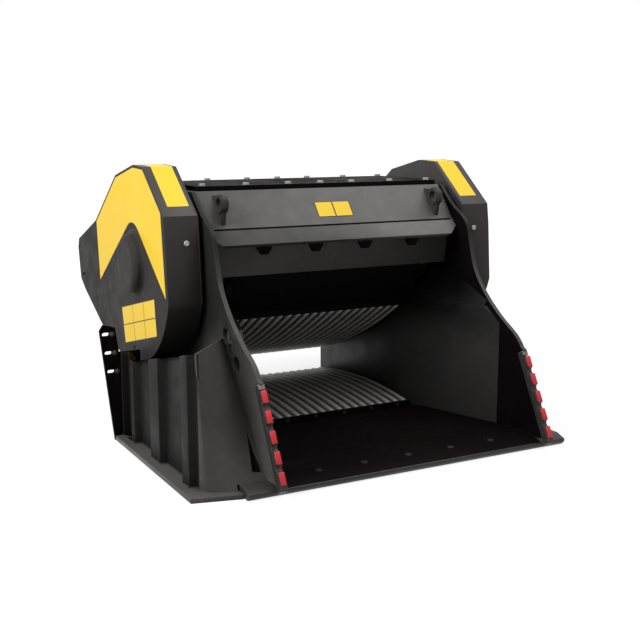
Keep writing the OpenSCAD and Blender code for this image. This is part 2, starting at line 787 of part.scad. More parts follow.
// Swing jaw: a slab with the toggle's seat, webs, and a head that turns on the journal
head_in_jaw = in_jaw(journal_at);
head_half = jaw_w / 2 - head_inset;
bush_out = head_half - bush_inset;
bush_in = bush_out - bush_l;
toggle_w = jaw_w - 2 * toggle_in;
web_pitch = (jaw_w / 2 - web_t) / 2;
rod_x = 1.5 * web_pitch;
rod_lug_half = (web_pitch - web_t) / 2;
seat_half_w = 2 * web_pitch - web_t / 2;
module toggle_seat() {
    jaw_slab(-seat_half_w, seat_half_w) translate([seat_along - seat_half, slab_top])
        square([2 * seat_half, seat_up - slab_top]);
}
module swing_jaw() {
    color([0.25, 0.25, 0.25]) difference() {
        union() {
            jaw_slab(-jaw_w / 2, jaw_w / 2) translate([0, liner_t]) square([moving_chord, slab_t]);
            toggle_seat();
            for (s = [-1, 1]) jaw_slab(s * rod_x - rod_lug_half, s * rod_x + rod_lug_half)
                translate(rod_lug[0]) square(rod_lug[1] - rod_lug[0]);
        }
        jaw_slab(-mouth_w, mouth_w) translate([seat_along, seat_up]) circle(r = toggle_t / 2 + seat_free);
        for (s = [-1, 1]) jaw_frame() translate([s * rod_x, rod_along, rod_lug[0][1] - over])
            cylinder(h = rod_lug[1][1] - rod_lug[0][1] + 2 * over, r = rod_r + throw + over);
    }
}
module jaw_webs() {
    color([0.25, 0.25, 0.25]) difference() {
        for (i = web_sides) jaw_slab(i * web_pitch - web_t / 2, i * web_pitch + web_t / 2) polygon(concat(
            [[0, slab_top], web_front, head_in_jaw, web_back],
            abs(i) == web_sides[4]
                ? [web_tail] : [[seat_web[0], seat_up], [seat_web[1], seat_up]],
            [[web_tail[0], slab_top]]
        ));
        bar_x(head_r, -mouth_w, mouth_w, journal_at);
        toggle_seat();
    }
}
module jaw_head() {
    color([0.25, 0.25, 0.25]) difference() {
        bar_x(head_r, -head_half, head_half, journal_at);
        bar_x(ecc_r + head_clear, -head_half - over, head_half + over, journal_at);
        both() bar_x(ecc_r + bush_t, bush_in, bush_out, journal_at);
    }
}
module jaw_bushes() {
    color([0.7, 0.55, 0.3]) both() difference() {
        bar_x(ecc_r + bush_t, bush_in, bush_out, journal_at);
        bar_x(ecc_r + fit_gap, bush_in - over, bush_out + over, journal_at);
    }
}

// Toggle plate, its block under the shims, the rear beam and the tension rods
toggle_low = seat_up + toggle_gap;
toggle_high = toggle_low + toggle_l;
block_w = toggle_w + 2 * block_over;
block_top = toggle_high + block_t;
beam_low = block_top + shim_n * (shim_t + shim_gap);
module toggle_plate() {
    color([0.3, 0.3, 0.3]) jaw_slab(-toggle_w / 2, toggle_w / 2) union() {
        translate([seat_along - toggle_t / 2, toggle_low]) square([toggle_t, toggle_l]);
        for (w = [toggle_low, toggle_high]) translate([seat_along, w]) circle(r = toggle_t / 2);
    }
}
module toggle_block() {
    color([0.2, 0.2, 0.2]) jaw_slab(-block_w / 2, block_w / 2) difference() {
        translate([seat_along - beam_w / 2, toggle_high]) square([beam_w, block_t]);
        translate([seat_along, toggle_high]) circle(r = toggle_t / 2 + turn_gap);
    }
}
module shim_pack() {
    color([0.45, 0.45, 0.45]) for (i = [0 : shim_n - 1]) jaw_slab(-block_w / 2, block_w / 2)
        translate([seat_along - beam_w / 2, block_top + shim_gap / 2 + i * (shim_t + shim_gap)])
            square([beam_w, shim_t]);
}
bracket_low = beam_low + bracket_up;
module rear_beam() {
    color([0.13, 0.13, 0.13]) {
        jaw_slab(-half_in, half_in) difference() {
            translate([seat_along - beam_w / 2, beam_low]) square([beam_w, beam_h]);
            translate([seat_along - beam_w / 2 + beam_wall, beam_low + beam_wall])
                square([beam_w - 2 * beam_wall, beam_h - 2 * beam_wall]);
        }
        for (s = [-1, 1]) difference() {
            jaw_slab(s * rod_x - bracket_half, s * rod_x + bracket_half)
                translate([seat_along + beam_w / 2, bracket_low])
                    square([bracket_back - seat_along - beam_w / 2, bracket_t]);
            jaw_frame() translate([s * rod_x, rod_along, bracket_low - over])
                cylinder(h = bracket_t + 2 * over, r = rod_r + turn_gap);
        }
    }
}
rod_foot = rod_lug[0][1] - rod_nut_gap - rod_nut_t;
cup_foot = bracket_low + bracket_t;
module tension_rods() {
    color([0.5, 0.5, 0.5]) for (s = [-1, 1]) jaw_frame() translate([s * rod_x, rod_along, 0]) {
        translate([0, 0, rod_foot]) cylinder(h = cup_foot + cup_l - rod_foot, r = rod_r);
        translate([0, 0, rod_foot]) cylinder(h = rod_nut_t, r = rod_nut_r, $fn = 6);
        translate([0, 0, cup_foot + cup_l]) cylinder(h = rod_nut_t, r = rod_nut_r, $fn = 6);
    }
}
module spring_cups() {
    color([0.35, 0.35, 0.35]) for (s = [-1, 1]) jaw_frame() translate([s * rod_x, rod_along, cup_foot])
        difference() {
            cylinder(h = cup_l, r = cup_r);
            translate([0, 0, -over]) cylinder(h = cup_l + 2 * over, r = rod_r + turn_gap);
        }
}

// Shaft and its bearings
ecc_half = head_half - ecc_inset;
bearing_x1 = half_in - housing_flange_t;
bearing_x0 = bearing_x1 - bearing_w;
housing_x0 = half_in - housing_w;
fly_x0 = casing_in + casing_t + fly_gap;
fly_x1 = fly_x0 + flywheel_w;
module bearing_housing() {
    color([0.22, 0.22, 0.22]) difference() {
        union() {
            bar_x(housing_r, housing_x0, half_in, shaft_at);
            bar_x(housing_flange_r, bearing_x1, half_in, shaft_at);
        }
        bar_x(bearing_r, housing_x0 - over, bearing_x1, shaft_at);
        bar_x(shaft_hole_r, bearing_x1 - over, half_in + over, shaft_at);
    }
}
module main_bearing() {
    color([0.6, 0.6, 0.62]) difference() {
        bar_x(bearing_r, bearing_x0, bearing_x1, shaft_at);
        bar_x(journal_r + fit_gap, bearing_x0 - over, bearing_x1 + over, shaft_at);
    }
}
module eccentric_shaft() {
    color([0.55, 0.55, 0.57]) {
        bar_x(ecc_r, -ecc_half, ecc_half, journal_at);
        both() {
            bar_x(journal_r, ecc_half, fly_x0, shaft_at);
            bar_x(seat_r, fly_x0, fly_x1, shaft_at);
        }
    }
}
// Section of a wheel: rim with grooves, web, and a bored hub
function groove_mid(i) = (i - (belt_n - 1) / 2) * belt_pitch;
function wheel_section(r, rim, web, hub, bore, w, grooves, x0) = concat(
    [[bore, x0], [hub, x0], [hub, x0 + (w - web) / 2], [r - rim, x0 + (w - web) / 2], [r - rim, x0], [r, x0]],
    [for (i = [0 : grooves - 1], k = [0 : 3]) [
        r - ((k == 1 || k == 2) ? belt_t + 2 * turn_gap : 0),
        x0 + w / 2 + groove_mid(i) + (k < 2 ? -1 : 1) * (belt_w / 2 + belt_side)
    ]],
    [
        [r, x0 + w], [r - rim, x0 + w], [r - rim, x0 + (w + web) / 2], [hub, x0 + (w + web) / 2],
        [hub, x0 + w], [bore, x0 + w]
    ]
);
module flywheel(grooves) {
    color([0.3, 0.3, 0.32])
        turned_x(
            wheel_section(flywheel_r, rim_t, web_w, hub_r, seat_r, flywheel_w, grooves, fly_x0), shaft_at
        );
}
module hub_caps() {
    color([0.4, 0.4, 0.42]) both() bar_x(cap_disc_r, fly_x1, fly_x1 + cap_disc_t, shaft_at);
}

// Motor with its pulley on the left side, and the belts
port_x = half_in - motor_flange_t - motor_l / 2;
module hydraulic_motor() {
    neck_out = casing_in;
    color([0.3, 0.3, 0.3]) left() difference() {
        union() {
            bar_x(motor_flange_r, half_in - motor_flange_t, half_in, motor_at);
            bar_x(motor_r, half_in - motor_flange_t - motor_l, half_in - motor_flange_t, motor_at);
            bar_x(motor_neck_r, half_in, neck_out, motor_at);
            for (s = [-1, 1]) translate([port_x + s * port_half, motor_at[0], motor_at[1]])
                cylinder(h = motor_r + port_boss_h, r = port_boss_r);
        }
        bar_x(motor_shaft_r + fit_gap, half_in - motor_flange_t - over, neck_out + over, motor_at);
        for (s = [-1, 1]) translate([port_x + s * port_half, motor_at[0], motor_at[1] + motor_r])
            cylinder(h = port_boss_h + over, r = port_r);
    }
}
module motor_pulley() {
    color([0.35, 0.35, 0.36]) left() {
        turned_x(
            wheel_section(
                pulley_r, pulley_rim_t, web_w, pulley_hub_r, motor_shaft_r, flywheel_w, belt_n, fly_x0
            ),
            motor_at
        );
        bar_x(motor_shaft_r, half_in - motor_flange_t + over, fly_x1, motor_at);
    }
}
belt_span = motor_at - shaft_at;
belt_turn = atan2(belt_span[1], belt_span[0]);
full_turn = 360;
function belt_path(deep) = let(
        r1 = flywheel_r - turn_gap - deep, r2 = pulley_r - turn_gap - deep,
        a = acos((r1 - r2) / norm(belt_span))
    ) concat(
        arc(shaft_at, r1, belt_turn + a, belt_turn + full_turn - a, 6 * arc_steps),
        arc(motor_at, r2, belt_turn - a, belt_turn + a, 2 * arc_steps)
    );
module drive_belts() {
    mid = (fly_x0 + fly_x1) / 2;
    color([0.08, 0.08, 0.08]) left() for (i = [0 : belt_n - 1])
        side_slab(mid + groove_mid(i) - belt_w / 2, mid + groove_mid(i) + belt_w / 2) difference() {
            polygon(belt_path(0));
            polygon(belt_path(belt_t));
        }
}
module port_block() {
    color([0.3, 0.3, 0.3]) left() difference() {
        translate([half_in - block_d, block_y, block_z - block_h / 2]) cube([block_d, block_l, block_h]);
        for (s = [-1, 1])
            translate([half_in - block_d / 2, block_y + block_l + over, block_z + s * block_port_pitch / 2])
                rotate([90, 0, 0]) cylinder(h = block_port_l + over, r = port_r);
    }
}

// Belt casings
module casing_outline() {
    polygon(concat(
        [casing_face], arc(shaft_at, casing_r, front_start, front_end, arc_steps),
        sole, lobe, waist, crown, [roof_back, roof_front]
    ));
}
module casing() {
    color([0.14, 0.14, 0.14]) difference() {
        side_slab(casing_in + casing_t, casing_out) casing_outline();
        side_slab(casing_in + casing_t - over, casing_out - casing_t)
            offset(delta = -casing_t) casing_outline();
    }
}
module casing_back(motor_hole) {
    color([0.12, 0.12, 0.12]) {
        difference() {
            side_slab(casing_in, casing_in + casing_t) casing_outline();
            bar_x(back_hole_r, casing_in - over, casing_in + casing_t + over, shaft_at);
            if (motor_hole) bar_x(motor_hole_r, casing_in - over, casing_in + casing_t + over, motor_at);
        }
        for (p = boss_places) bar_x(boss_r, half_out, casing_in, p);
    }
}
module hub_dome() {
    color([0.14, 0.14, 0.14]) turned_x(
        [
            [0, casing_out], [dome_r, casing_out], [dome_r, casing_out + dome_h - dome_bevel],
            [dome_r - dome_bevel, casing_out + dome_h], [0, casing_out + dome_h]
        ],
        shaft_at
    );
}
// Place of the casings' front face at a height below its upper corner
face_foot = shaft_at + casing_r * [cos(front_start), sin(front_start)];
function face_y(z) = casing_face[0]
    + (face_foot[0] - casing_face[0]) * (casing_face[1] - z) / (casing_face[1] - face_foot[1]);
module casing_bolts() {
    color([0.6, 0.6, 0.6]) both() {
        translate([casing_in + face_bolt_in, face_y(face_bolt_z - face_bolt_r), face_bolt_z])
            rotate([90, 0, 0]) cylinder(h = face_bolt_h, r = face_bolt_r);
        for (p = rim_bolt_places) bar_x(rim_bolt_r, casing_out, casing_out + rim_bolt_h, p);
    }
}

left() side_plate(true, true);  // side_plate_left
side_plate(false, false);  // side_plate_right
left() side_cutter();  // side_cutter_left
side_cutter();  // side_cutter_right
tooth_caps();
base_plate();
cutting_edge();
edge_bolts();
floor_plate();
side_shell();  // side_shell_left
side_guard();  // side_guard_right
corner_panel();
wing_plate();  // wing_plate_left
end_plate();  // end_plate_right
wing_bolts();
top_beam();
beam_tabs();
lift_lugs();
coupler_plate();
coupler_bolts();
apron_plate();
left() cheek_plate();  // cheek_plate_left
cheek_plate();  // cheek_plate_right
cheek_bolts();
rear_beam();
rear_cover();
jaw_bed();
fixed_jaw();
fixed_jaw_clamp();
clamp_bolts();
swing_jaw();
jaw_webs();
jaw_head();
moving_jaw();
moving_jaw_clamp();
jaw_bushes();
eccentric_shaft();
left() main_bearing();  // main_bearing_left
main_bearing();  // main_bearing_right
left() bearing_housing();  // bearing_housing_left
bearing_housing();  // bearing_housing_right
toggle_plate();
toggle_block();
shim_pack();
tension_rods();
spring_cups();
left() flywheel(belt_n);  // flywheel_left
flywheel(0);  // flywheel_right
hub_caps();
hydraulic_motor();
motor_pulley();
drive_belts();
port_block();
left() casing();  // casing_left
casing();  // casing_right
left() casing_back(true);  // casing_back_left
casing_back(false);  // casing_back_right
left() hub_dome();  // hub_dome_left
hub_dome();  // hub_dome_right
casing_bolts();
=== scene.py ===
"""Dresses the jaw crusher bucket: black paint, worn jaws, yellow film, bolts, welds and a plain studio."""

import logging
import math
from collections.abc import Callable, Iterable, Iterator, Sequence
from contextlib import contextmanager
from dataclasses import dataclass, field, replace
from enum import Enum
from functools import cached_property

import bmesh
import bpy
from mathutils import Matrix, Vector


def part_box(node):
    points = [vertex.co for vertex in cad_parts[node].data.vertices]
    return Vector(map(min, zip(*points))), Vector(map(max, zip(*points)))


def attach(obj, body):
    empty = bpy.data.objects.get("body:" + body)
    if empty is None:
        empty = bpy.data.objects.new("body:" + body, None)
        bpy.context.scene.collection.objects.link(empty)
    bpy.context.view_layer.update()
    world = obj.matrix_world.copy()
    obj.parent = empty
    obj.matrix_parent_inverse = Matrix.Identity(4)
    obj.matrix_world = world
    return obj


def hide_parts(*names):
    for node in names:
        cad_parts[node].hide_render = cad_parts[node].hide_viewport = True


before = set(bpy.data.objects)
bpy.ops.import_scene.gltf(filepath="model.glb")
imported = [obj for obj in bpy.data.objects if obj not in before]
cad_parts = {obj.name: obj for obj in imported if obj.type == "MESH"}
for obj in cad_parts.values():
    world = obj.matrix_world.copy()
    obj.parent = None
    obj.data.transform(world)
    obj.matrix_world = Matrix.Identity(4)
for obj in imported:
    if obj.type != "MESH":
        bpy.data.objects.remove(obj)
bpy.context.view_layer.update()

log = logging.getLogger("bucket")

Colour = tuple[float, float, float]
Point = tuple[float, float, float]
Pair = tuple[float, float]
Piece = bpy.types.Object
Socket = bpy.types.NodeSocket

# A face looks along an axis where its normal has at least this much of it
FACING = 0.9
# Distances in metres under which points are one, or lie on the same face
SAME = 1e-5
NEAR = 1e-4
# A face lies flat on an axis with more than this of it in its normal, and runs along it with less
FLAT = 0.99
ALONG = 0.1
# Spans of a noise that make clouds, dust specks and chips
CLOUD = (0.3, 0.7)
SPECK = (0.52, 0.75)
CHIP = (0.42, 0.6)
# Scale and octaves of the noise of dust specks and of chips
SPECK_NOISE = (38.0, 8.0)
CHIP_NOISE = (70.0, 6.0)
# Octaves of the colour's wandering and of the gloss's, and how much finer the gloss wanders
MOTTLE_DETAIL = 5.0
GLOSS_DETAIL = 4.0
GLOSS_FINER = 6.0
# Cosine of a rounded and a flat normal where an edge's wear begins and where it is full
EDGE_SPAN = (0.985, 0.9)


class Body(Enum):
    """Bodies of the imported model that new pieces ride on."""

    FRAME = "frame"
    JAW = "jaw"


class Slot(Enum):
    """Material slots of the record."""

    BLACK = "black_paint"
    CASING = "casing_paint"
    EDGE = "edge_steel"
    TOOTH = "tooth_red"
    JAW = "jaw_steel"
    CASTING = "casting"
    MACHINED = "machined_steel"
    BEARING = "bearing_steel"
    BRONZE = "bronze"
    BOLT = "bolt_steel"
    BELT = "belt_rubber"
    YELLOW = "label_yellow"
    GREY = "label_grey"


class Part(Enum):
    """Kinds of mesh parts that can be picked, named as Blender's selection modes are."""

    FACE = "FACE"
    EDGE = "EDGE"


class Side(Enum):
    """The two sides of the bucket, with the sign of X on each."""

    LEFT = -1
    RIGHT = 1

    def node(self, stem: str) -> str:
        """Returns the name of this side's CAD node."""
        return f"{stem}_{self.name.lower()}"


class Graph:
    """The node tree of a material or a world, built by plain calls."""

    def __init__(self, owner: bpy.types.Material | bpy.types.World) -> None:
        """Opens the owner's nodes."""
        owner.use_nodes = True
        self.tree = owner.node_tree

    @cached_property
    def place(self) -> Socket:
        """The piece's own coordinates."""
        return self.add("ShaderNodeTexCoord").outputs["Object"]

    def add(self, kind: str, inputs: dict | None = None, **settings: object) -> bpy.types.Node:
        """Adds a node.

        Args:
            kind: The node's type name.
            inputs: Values or sockets for its inputs, by name or index.
            settings: The node's own properties.

        Returns:
            The new node.
        """
        node = self.tree.nodes.new(kind)
        for key, value in settings.items():
            setattr(node, key, value)
        for key, value in (inputs or {}).items():
            self.feed(node.inputs[key], value)
        return node

    def feed(self, socket: Socket, value: object) -> None:
        """Links a socket to another, or sets its value.

        Args:
            socket: The input.
            value: A socket or a plain value.
        """
        if isinstance(value, bpy.types.NodeSocket):
            self.tree.links.new(value, socket)
        else:
            socket.default_value = value

    def noise(self, scale: float, detail: float = 3.0, stretch: Point = (1.0, 1.0, 1.0)) -> Socket:
        """Returns noise over the piece.

        Args:
            scale: Features in a metre.
            detail: Octaves.
            stretch: Share of the scale along X, Y and Z.

        Returns:
            The noise, from 0 to 1.
        """
        mapped = self.add("ShaderNodeMapping", {"Vector": self.place, "Scale": stretch})
        node = self.add("ShaderNodeTexNoise", {"Vector": mapped.outputs[0], "Scale": scale, "Detail": detail})
        return node.outputs[0]

    def span(
        self, value: object, low: float, high: float, to_low: float = 0.0, to_high: float = 1.0
    ) -> Socket:
        """Maps a range to another smoothly, and clamps it.

        Args:
            value: What is mapped.
            low: Where its range begins.
            high: Where it ends.
            to_low: What low becomes.
            to_high: What high becomes.

        Returns:
            The mapped value.
        """
        node = self.add(
            "ShaderNodeMapRange",
            {"Value": value, "From Min": low, "From Max": high, "To Min": to_low, "To Max": to_high},
            interpolation_type="SMOOTHSTEP",
        )
        return node.outputs[0]

    def sum(self, operation: str, a: object, b: object) -> Socket:
        """Returns the result of a scalar sum, named as the Math node names it."""
        return self.add("ShaderNodeMath", {0: a, 1: b}, operation=operation).outputs[0]

    def vector(self, operation: str, a: object, b: object = None, result: int = 0) -> Socket:
        """Returns a result of a vector sum, named as the Vector Math node names it."""
        inputs = {0: a} if b is None else {0: a, 1: b}
        return self.add("ShaderNodeVectorMath", inputs, operation=operation).outputs[result]

    def mix(self, share: object, a: object, b: object) -> Socket:
        """Returns colour a where share is 0 and colour b where it is 1.

        Args:
            share: From 0 to 1.
            a: A colour.
            b: Another.

        Returns:
            The mixed colour.
        """
        node = self.add("ShaderNodeMix", data_type="RGBA")
        for index, value in ((0, share), (6, a), (7, b)):
            self.feed(node.inputs[index], (*value, 1.0) if isinstance(value, tuple) else value)
        return node.outputs[2]

    def edges(self, reach: float) -> Socket:
        """Returns 1 on the piece's edges, fading to 0 within the reach.

        Args:
            reach: Distance from an edge, in metres.

        Returns:
            The share of edge.
        """
        rounded = self.add("ShaderNodeBevel", {"Radius": reach}, samples=4)
        flat = self.add("ShaderNodeNewGeometry").outputs["Normal"]
        return self.span(self.vector("DOT_PRODUCT", rounded.outputs[0], flat, 1), *EDGE_SPAN)

    def bump(self, height: Socket, depth: float) -> Socket:
        """Returns the normal of a relief of that depth in metres."""
        return self.add("ShaderNodeBump", {"Height": height, "Distance": depth, "Strength": 1.0}).outputs[0]

    def seen(self) -> Socket:
        """Returns 1 where the camera sees a surface, straight or by way of a gloss or a glass, else 0.

        Returns:
            The factor.
        """
        rays = self.add("ShaderNodeLightPath").outputs
        seen = rays["Is Camera Ray"]
        for kind in ("Is Glossy Ray", "Is Transmission Ray"):
            seen = self.sum("MAXIMUM", seen, rays[kind])
        return seen


@dataclass(frozen=True)
class Finish:
    """A surface: its colour, gloss and grain, how its edges are rubbed, and its painted light and shade along
    an axis.

    The painted light ramp names an axis, two places along it and the shares of the colour there, which paint
    light and shade onto it.
    """

    name: str
    slot: Slot
    colour: Colour
    rough: float
    metal: float = 0.0
    specular: float = 0.5
    mottle: float = 0.2
    mottle_scale: float = 2.2
    grain: float = 0.0001
    grain_scale: float = 450.0
    grain_stretch: Point = (1.0, 1.0, 1.0)
    bare: Colour = (0.25, 0.25, 0.25)
    wear: float = 0.0
    wear_reach: float = 0.004
    dust: float = 0.0
    dust_tone: Pair = (2.5, 0.02)
    painted_light_ramp: tuple[int, float, float, float, float] = (0, 0.0, 1.0, 1.0, 1.0)
    rough_play: float = 0.12

    def tone(self, graph: Graph) -> Socket:
        """Returns the colour before wear: the finish's own, wandering slowly and scaled along one axis as
        painted light and shade.

        Args:
            graph: The material's graph.

        Returns:
            The colour.
        """
        dark, light = (tuple(c * (1.0 + s * self.mottle) for c in self.colour) for s in (-1, 1))
        tone = graph.mix(graph.span(graph.noise(self.mottle_scale, MOTTLE_DETAIL), *CLOUD), dark, light)
        if self.dust:
            speck = graph.span(graph.noise(*SPECK_NOISE), *SPECK, 0.0, self.dust)
            gain, lift = self.dust_tone
            tone = graph.mix(speck, tone, tuple(min(1.0, c * gain + lift) for c in self.colour))
        # Painted light and shade: the colour is scaled up or down along one axis
        axis, low, high, at_low, at_high = self.painted_light_ramp
        if at_low != at_high:
            place = graph.add("ShaderNodeSeparateXYZ", {0: graph.place}).outputs[axis]
            share = graph.span(place, low, high, at_low, at_high)
            tone = graph.add("ShaderNodeVectorMath", {0: tone, "Scale": share}, operation="SCALE").outputs[0]
        return tone

    def build(self) -> bpy.types.Material:
        """Makes the material and returns it.

        Returns:
            The material.
        """
        material = bpy.data.materials.new(self.name)
        graph = Graph(material)
        shader = graph.tree.nodes["Principled BSDF"].inputs
        tone = self.tone(graph)
        low, high = self.rough * (1.0 - self.rough_play), min(1.0, self.rough * (1.0 + self.rough_play))
        gloss = graph.noise(self.mottle_scale * GLOSS_FINER, GLOSS_DETAIL)
        shader["Metallic"].default_value = self.metal
        if self.wear:
            chips = graph.sum("MULTIPLY", graph.span(graph.noise(*CHIP_NOISE), *CHIP), self.wear)
            rubbed = graph.sum("MULTIPLY", graph.edges(self.wear_reach), chips)
            tone = graph.mix(rubbed, tone, self.bare)
            graph.feed(shader["Metallic"], graph.sum("MAXIMUM", rubbed, self.metal))
        graph.feed(shader["Base Color"], tone)
        graph.feed(shader["Roughness"], graph.span(gloss, *CLOUD, low, high))
        shader["Specular IOR Level"].default_value = self.specular
        grain = graph.noise(self.grain_scale, stretch=self.grain_stretch)
        graph.feed(shader["Normal"], graph.bump(grain, self.grain))
        return material


@dataclass(frozen=True)
class JawFinish(Finish):
    """Manganese steel, polished by stone on the ribs' crests and dark in the valleys.

    The crests lie on a cylinder across the bucket, so their height is a distance from its axis.
    """

    axis_at: Pair = (0.0, 0.0)
    crest: float = 1.0
    valley: float = 0.98
    crest_colour: Colour = (0.5, 0.49, 0.47)
    scratch: float = 0.18
    scratch_scale: float = 60.0
    scratch_stretch: Point = (9.0, 0.5, 0.5)
    polish: Pair = (0.15, 0.95)

    def height(self, graph: Graph) -> Socket:
        """Returns 0 in the valleys and 1 on the crests.

        Args:
            graph: The material's graph.

        Returns:
            The share of height.
        """
        off = graph.vector("SUBTRACT", graph.place, (0.0, *self.axis_at))
        flat = graph.vector("MULTIPLY", off, (0.0, 1.0, 1.0))
        return graph.span(graph.vector("LENGTH", flat, result=1), self.valley, self.crest)

    def tone(self, graph: Graph) -> Socket:
        """Returns the colour from dark valleys to bright crests, with scratches along the travel.

        Args:
            graph: The material's graph.

        Returns:
            The colour.
        """
        noise = graph.noise(self.scratch_scale, MOTTLE_DETAIL, self.scratch_stretch)
        scratch = graph.span(noise, *CLOUD, -self.scratch, self.scratch)
        polish = graph.span(graph.sum("ADD", self.height(graph), scratch), *self.polish)
        return graph.mix(polish, self.colour, self.crest_colour)


class Finishes(Enum):
    """Every finish of the bucket but the two jaws', which follow their curves."""

    # BLACK to CASING are copies of one black paint: their colours differ as painted light and shade, lighter
    # where light falls and near black in the hollows
    BLACK = Finish("black_satin_paint", Slot.BLACK, (0.022, 0.0205, 0.0195), 0.42, specular=0.18,
                   wear=0.2, wear_reach=0.0025, dust=0.12)
    SHELL = replace(BLACK, name="black_shell_paint", colour=(0.0115, 0.0108, 0.0105), rough=0.5,
                    specular=0.07)
    # PANEL and FLANGE: lighter copies for the beam's slope and flange, lighter again towards +X, as painted
    # light
    PANEL = replace(BLACK, name="black_panel_paint", colour=(0.085, 0.083, 0.08), specular=0.2, mottle=0.12,
                    dust=0.1, painted_light_ramp=(0, -0.45, 0.5, 0.85, 1.4))
    FLANGE = replace(PANEL, name="black_flange_paint", colour=(0.075, 0.073, 0.071), specular=0.15,
                     painted_light_ramp=(0, -0.2, 0.55, 0.72, 2.6))
    PLATE = replace(BLACK, name="black_plate_paint", colour=(0.015, 0.0138, 0.013), rough=0.46,
                    specular=0.15, wear=0.25, wear_reach=0.003)
    # RIM: a lighter copy on the plates' cut edges as a painted highlight, darker towards the top as painted
    # shade; its chips are real wear
    RIM = replace(PLATE, name="plate_rim_paint", colour=(0.06, 0.058, 0.056), rough=0.5, mottle=0.15,
                  wear=0.3, dust=0.15, painted_light_ramp=(2, 0.68, 0.9, 1.0, 0.15))
    # OUTER, SIDE and CORNER: lighter copies for faces turned out to the light, as painted light; SIDE darker
    # towards the top, as the casing's painted shadow
    OUTER = replace(PLATE, name="black_outer_paint", colour=(0.085, 0.082, 0.08), rough=0.42, wear=0.2)
    SIDE = replace(OUTER, name="black_side_paint", specular=0.13, painted_light_ramp=(2, 0.30, 0.58, 1.0, 0.2))
    CORNER = replace(OUTER, name="black_corner_paint", colour=(0.07, 0.068, 0.066))
    # APRON: a lighter copy, painted light. CHEEK: darker towards the top, painted shade
    APRON = Finish("black_apron_paint", Slot.BLACK, (0.095, 0.091, 0.088), 0.42, specular=0.15, dust=0.1)
    CHEEK = replace(APRON, name="black_cheek_paint", colour=(0.026, 0.0245, 0.024), specular=0.13,
                    painted_light_ramp=(2, 0.34, 0.54, 1.0, 0.08))
    # INNER: near black, painted shade in the hollows and under the beam
    INNER = replace(APRON, name="black_inner_paint", colour=(0.0034, 0.0024, 0.0026), rough=0.6,
                    specular=0.03, dust=0.05)
    # FRONT, ROOF and CASING: copies of one casing paint by facing, as painted light and shade; ROOF lighter,
    # CASING lighter towards the front
    FRONT = Finish("black_casing_front", Slot.CASING, (0.042, 0.039, 0.038), 0.4, specular=0.15,
                   mottle=0.12, grain=0.00005, wear=0.12, wear_reach=0.0025)
    ROOF = replace(FRONT, name="black_casing_roof", colour=(0.055, 0.052, 0.05), rough=0.38)
    CASING = replace(FRONT, name="black_casing_paint", colour=(0.024, 0.0225, 0.022), rough=0.5,
                     specular=0.03, dust=0.06, painted_light_ramp=(1, -0.1, 0.8, 1.8, 0.7))
    EDGE = Finish("scraped_edge_paint", Slot.EDGE, (0.03, 0.029, 0.028), 0.44, specular=0.3,
                  wear=0.5, wear_reach=0.005, dust=0.2, grain=0.0003, grain_scale=160.0)
    STOP = Finish("rubbed_stop_block", Slot.EDGE, (0.2, 0.195, 0.19), 0.45, specular=0.4, wear=0.3)
    TOOTH = Finish("red_tooth_paint", Slot.TOOTH, (0.68, 0.032, 0.036), 0.4, specular=0.35, mottle=0.08,
                   wear=0.2, wear_reach=0.0015, bare=(0.3, 0.2, 0.19))
    CASTING = Finish("black_casting", Slot.CASTING, (0.02, 0.02, 0.02), 0.6, specular=0.3, mottle=0.35,
                     grain=0.0009, grain_scale=140.0, wear=0.2)
    WHEEL = Finish("turned_casting", Slot.CASTING, (0.11, 0.11, 0.112), 0.45, metal=1.0,
                   grain=0.0002, grain_scale=300.0)
    MACHINED = Finish("oiled_steel", Slot.MACHINED, (0.42, 0.41, 0.4), 0.28, metal=1.0, mottle=0.12,
                      grain=0.00005, grain_stretch=(8.0, 1.0, 1.0))
    BEARING = Finish("ground_steel", Slot.BEARING, (0.55, 0.55, 0.57), 0.16, metal=1.0, mottle=0.05,
                     grain=0.00002)
    BRONZE = Finish("machined_bronze", Slot.BRONZE, (0.5, 0.32, 0.12), 0.3, metal=1.0, grain=0.00005)
    BOLT = Finish("dull_zinc", Slot.BOLT, (0.3, 0.3, 0.3), 0.42, metal=0.4, mottle=0.15,
                  wear=0.2, wear_reach=0.001)
    SCREW = Finish("bright_zinc", Slot.BOLT, (0.5, 0.5, 0.51), 0.35, metal=0.3, mottle=0.1)
    DARK_BOLT = Finish("blackened_bolt", Slot.BOLT, (0.012, 0.0115, 0.011), 0.45, specular=0.3, mottle=0.15)
    GREY_BOLT = replace(DARK_BOLT, name="dulled_bolt", colour=(0.06, 0.06, 0.06))
    BELT = Finish("belt_rubber_black", Slot.BELT, (0.016, 0.016, 0.016), 0.75, specular=0.3,
                  grain=0.0003, grain_scale=900.0)
    YELLOW = Finish("yellow_film", Slot.YELLOW, (0.95, 0.64, 0.04), 0.45, specular=0.15, mottle=0.02,
                    mottle_scale=1.5, grain=0.00002, grain_scale=220.0)
    INK = Finish("film_line", Slot.GREY, (0.03, 0.028, 0.026), 0.5, specular=0.25, mottle=0.05)
    WELD = Finish("painted_weld", Slot.BLACK, (0.02, 0.0195, 0.019), 0.5, specular=0.3, grain=0.0016,
                  grain_scale=150.0)


@dataclass(frozen=True)
class Rounding:
    """The finish of a CAD node's copy, and how wide and how finely its edges are rounded."""

    finish: Finishes
    width: float
    segments: int = 2
    body: Body = Body.FRAME


def both(stem: str, rounding: Rounding) -> dict[str, Rounding]:
    """Returns one rounding for the nodes of both sides."""
    return {side.node(stem): rounding for side in Side}
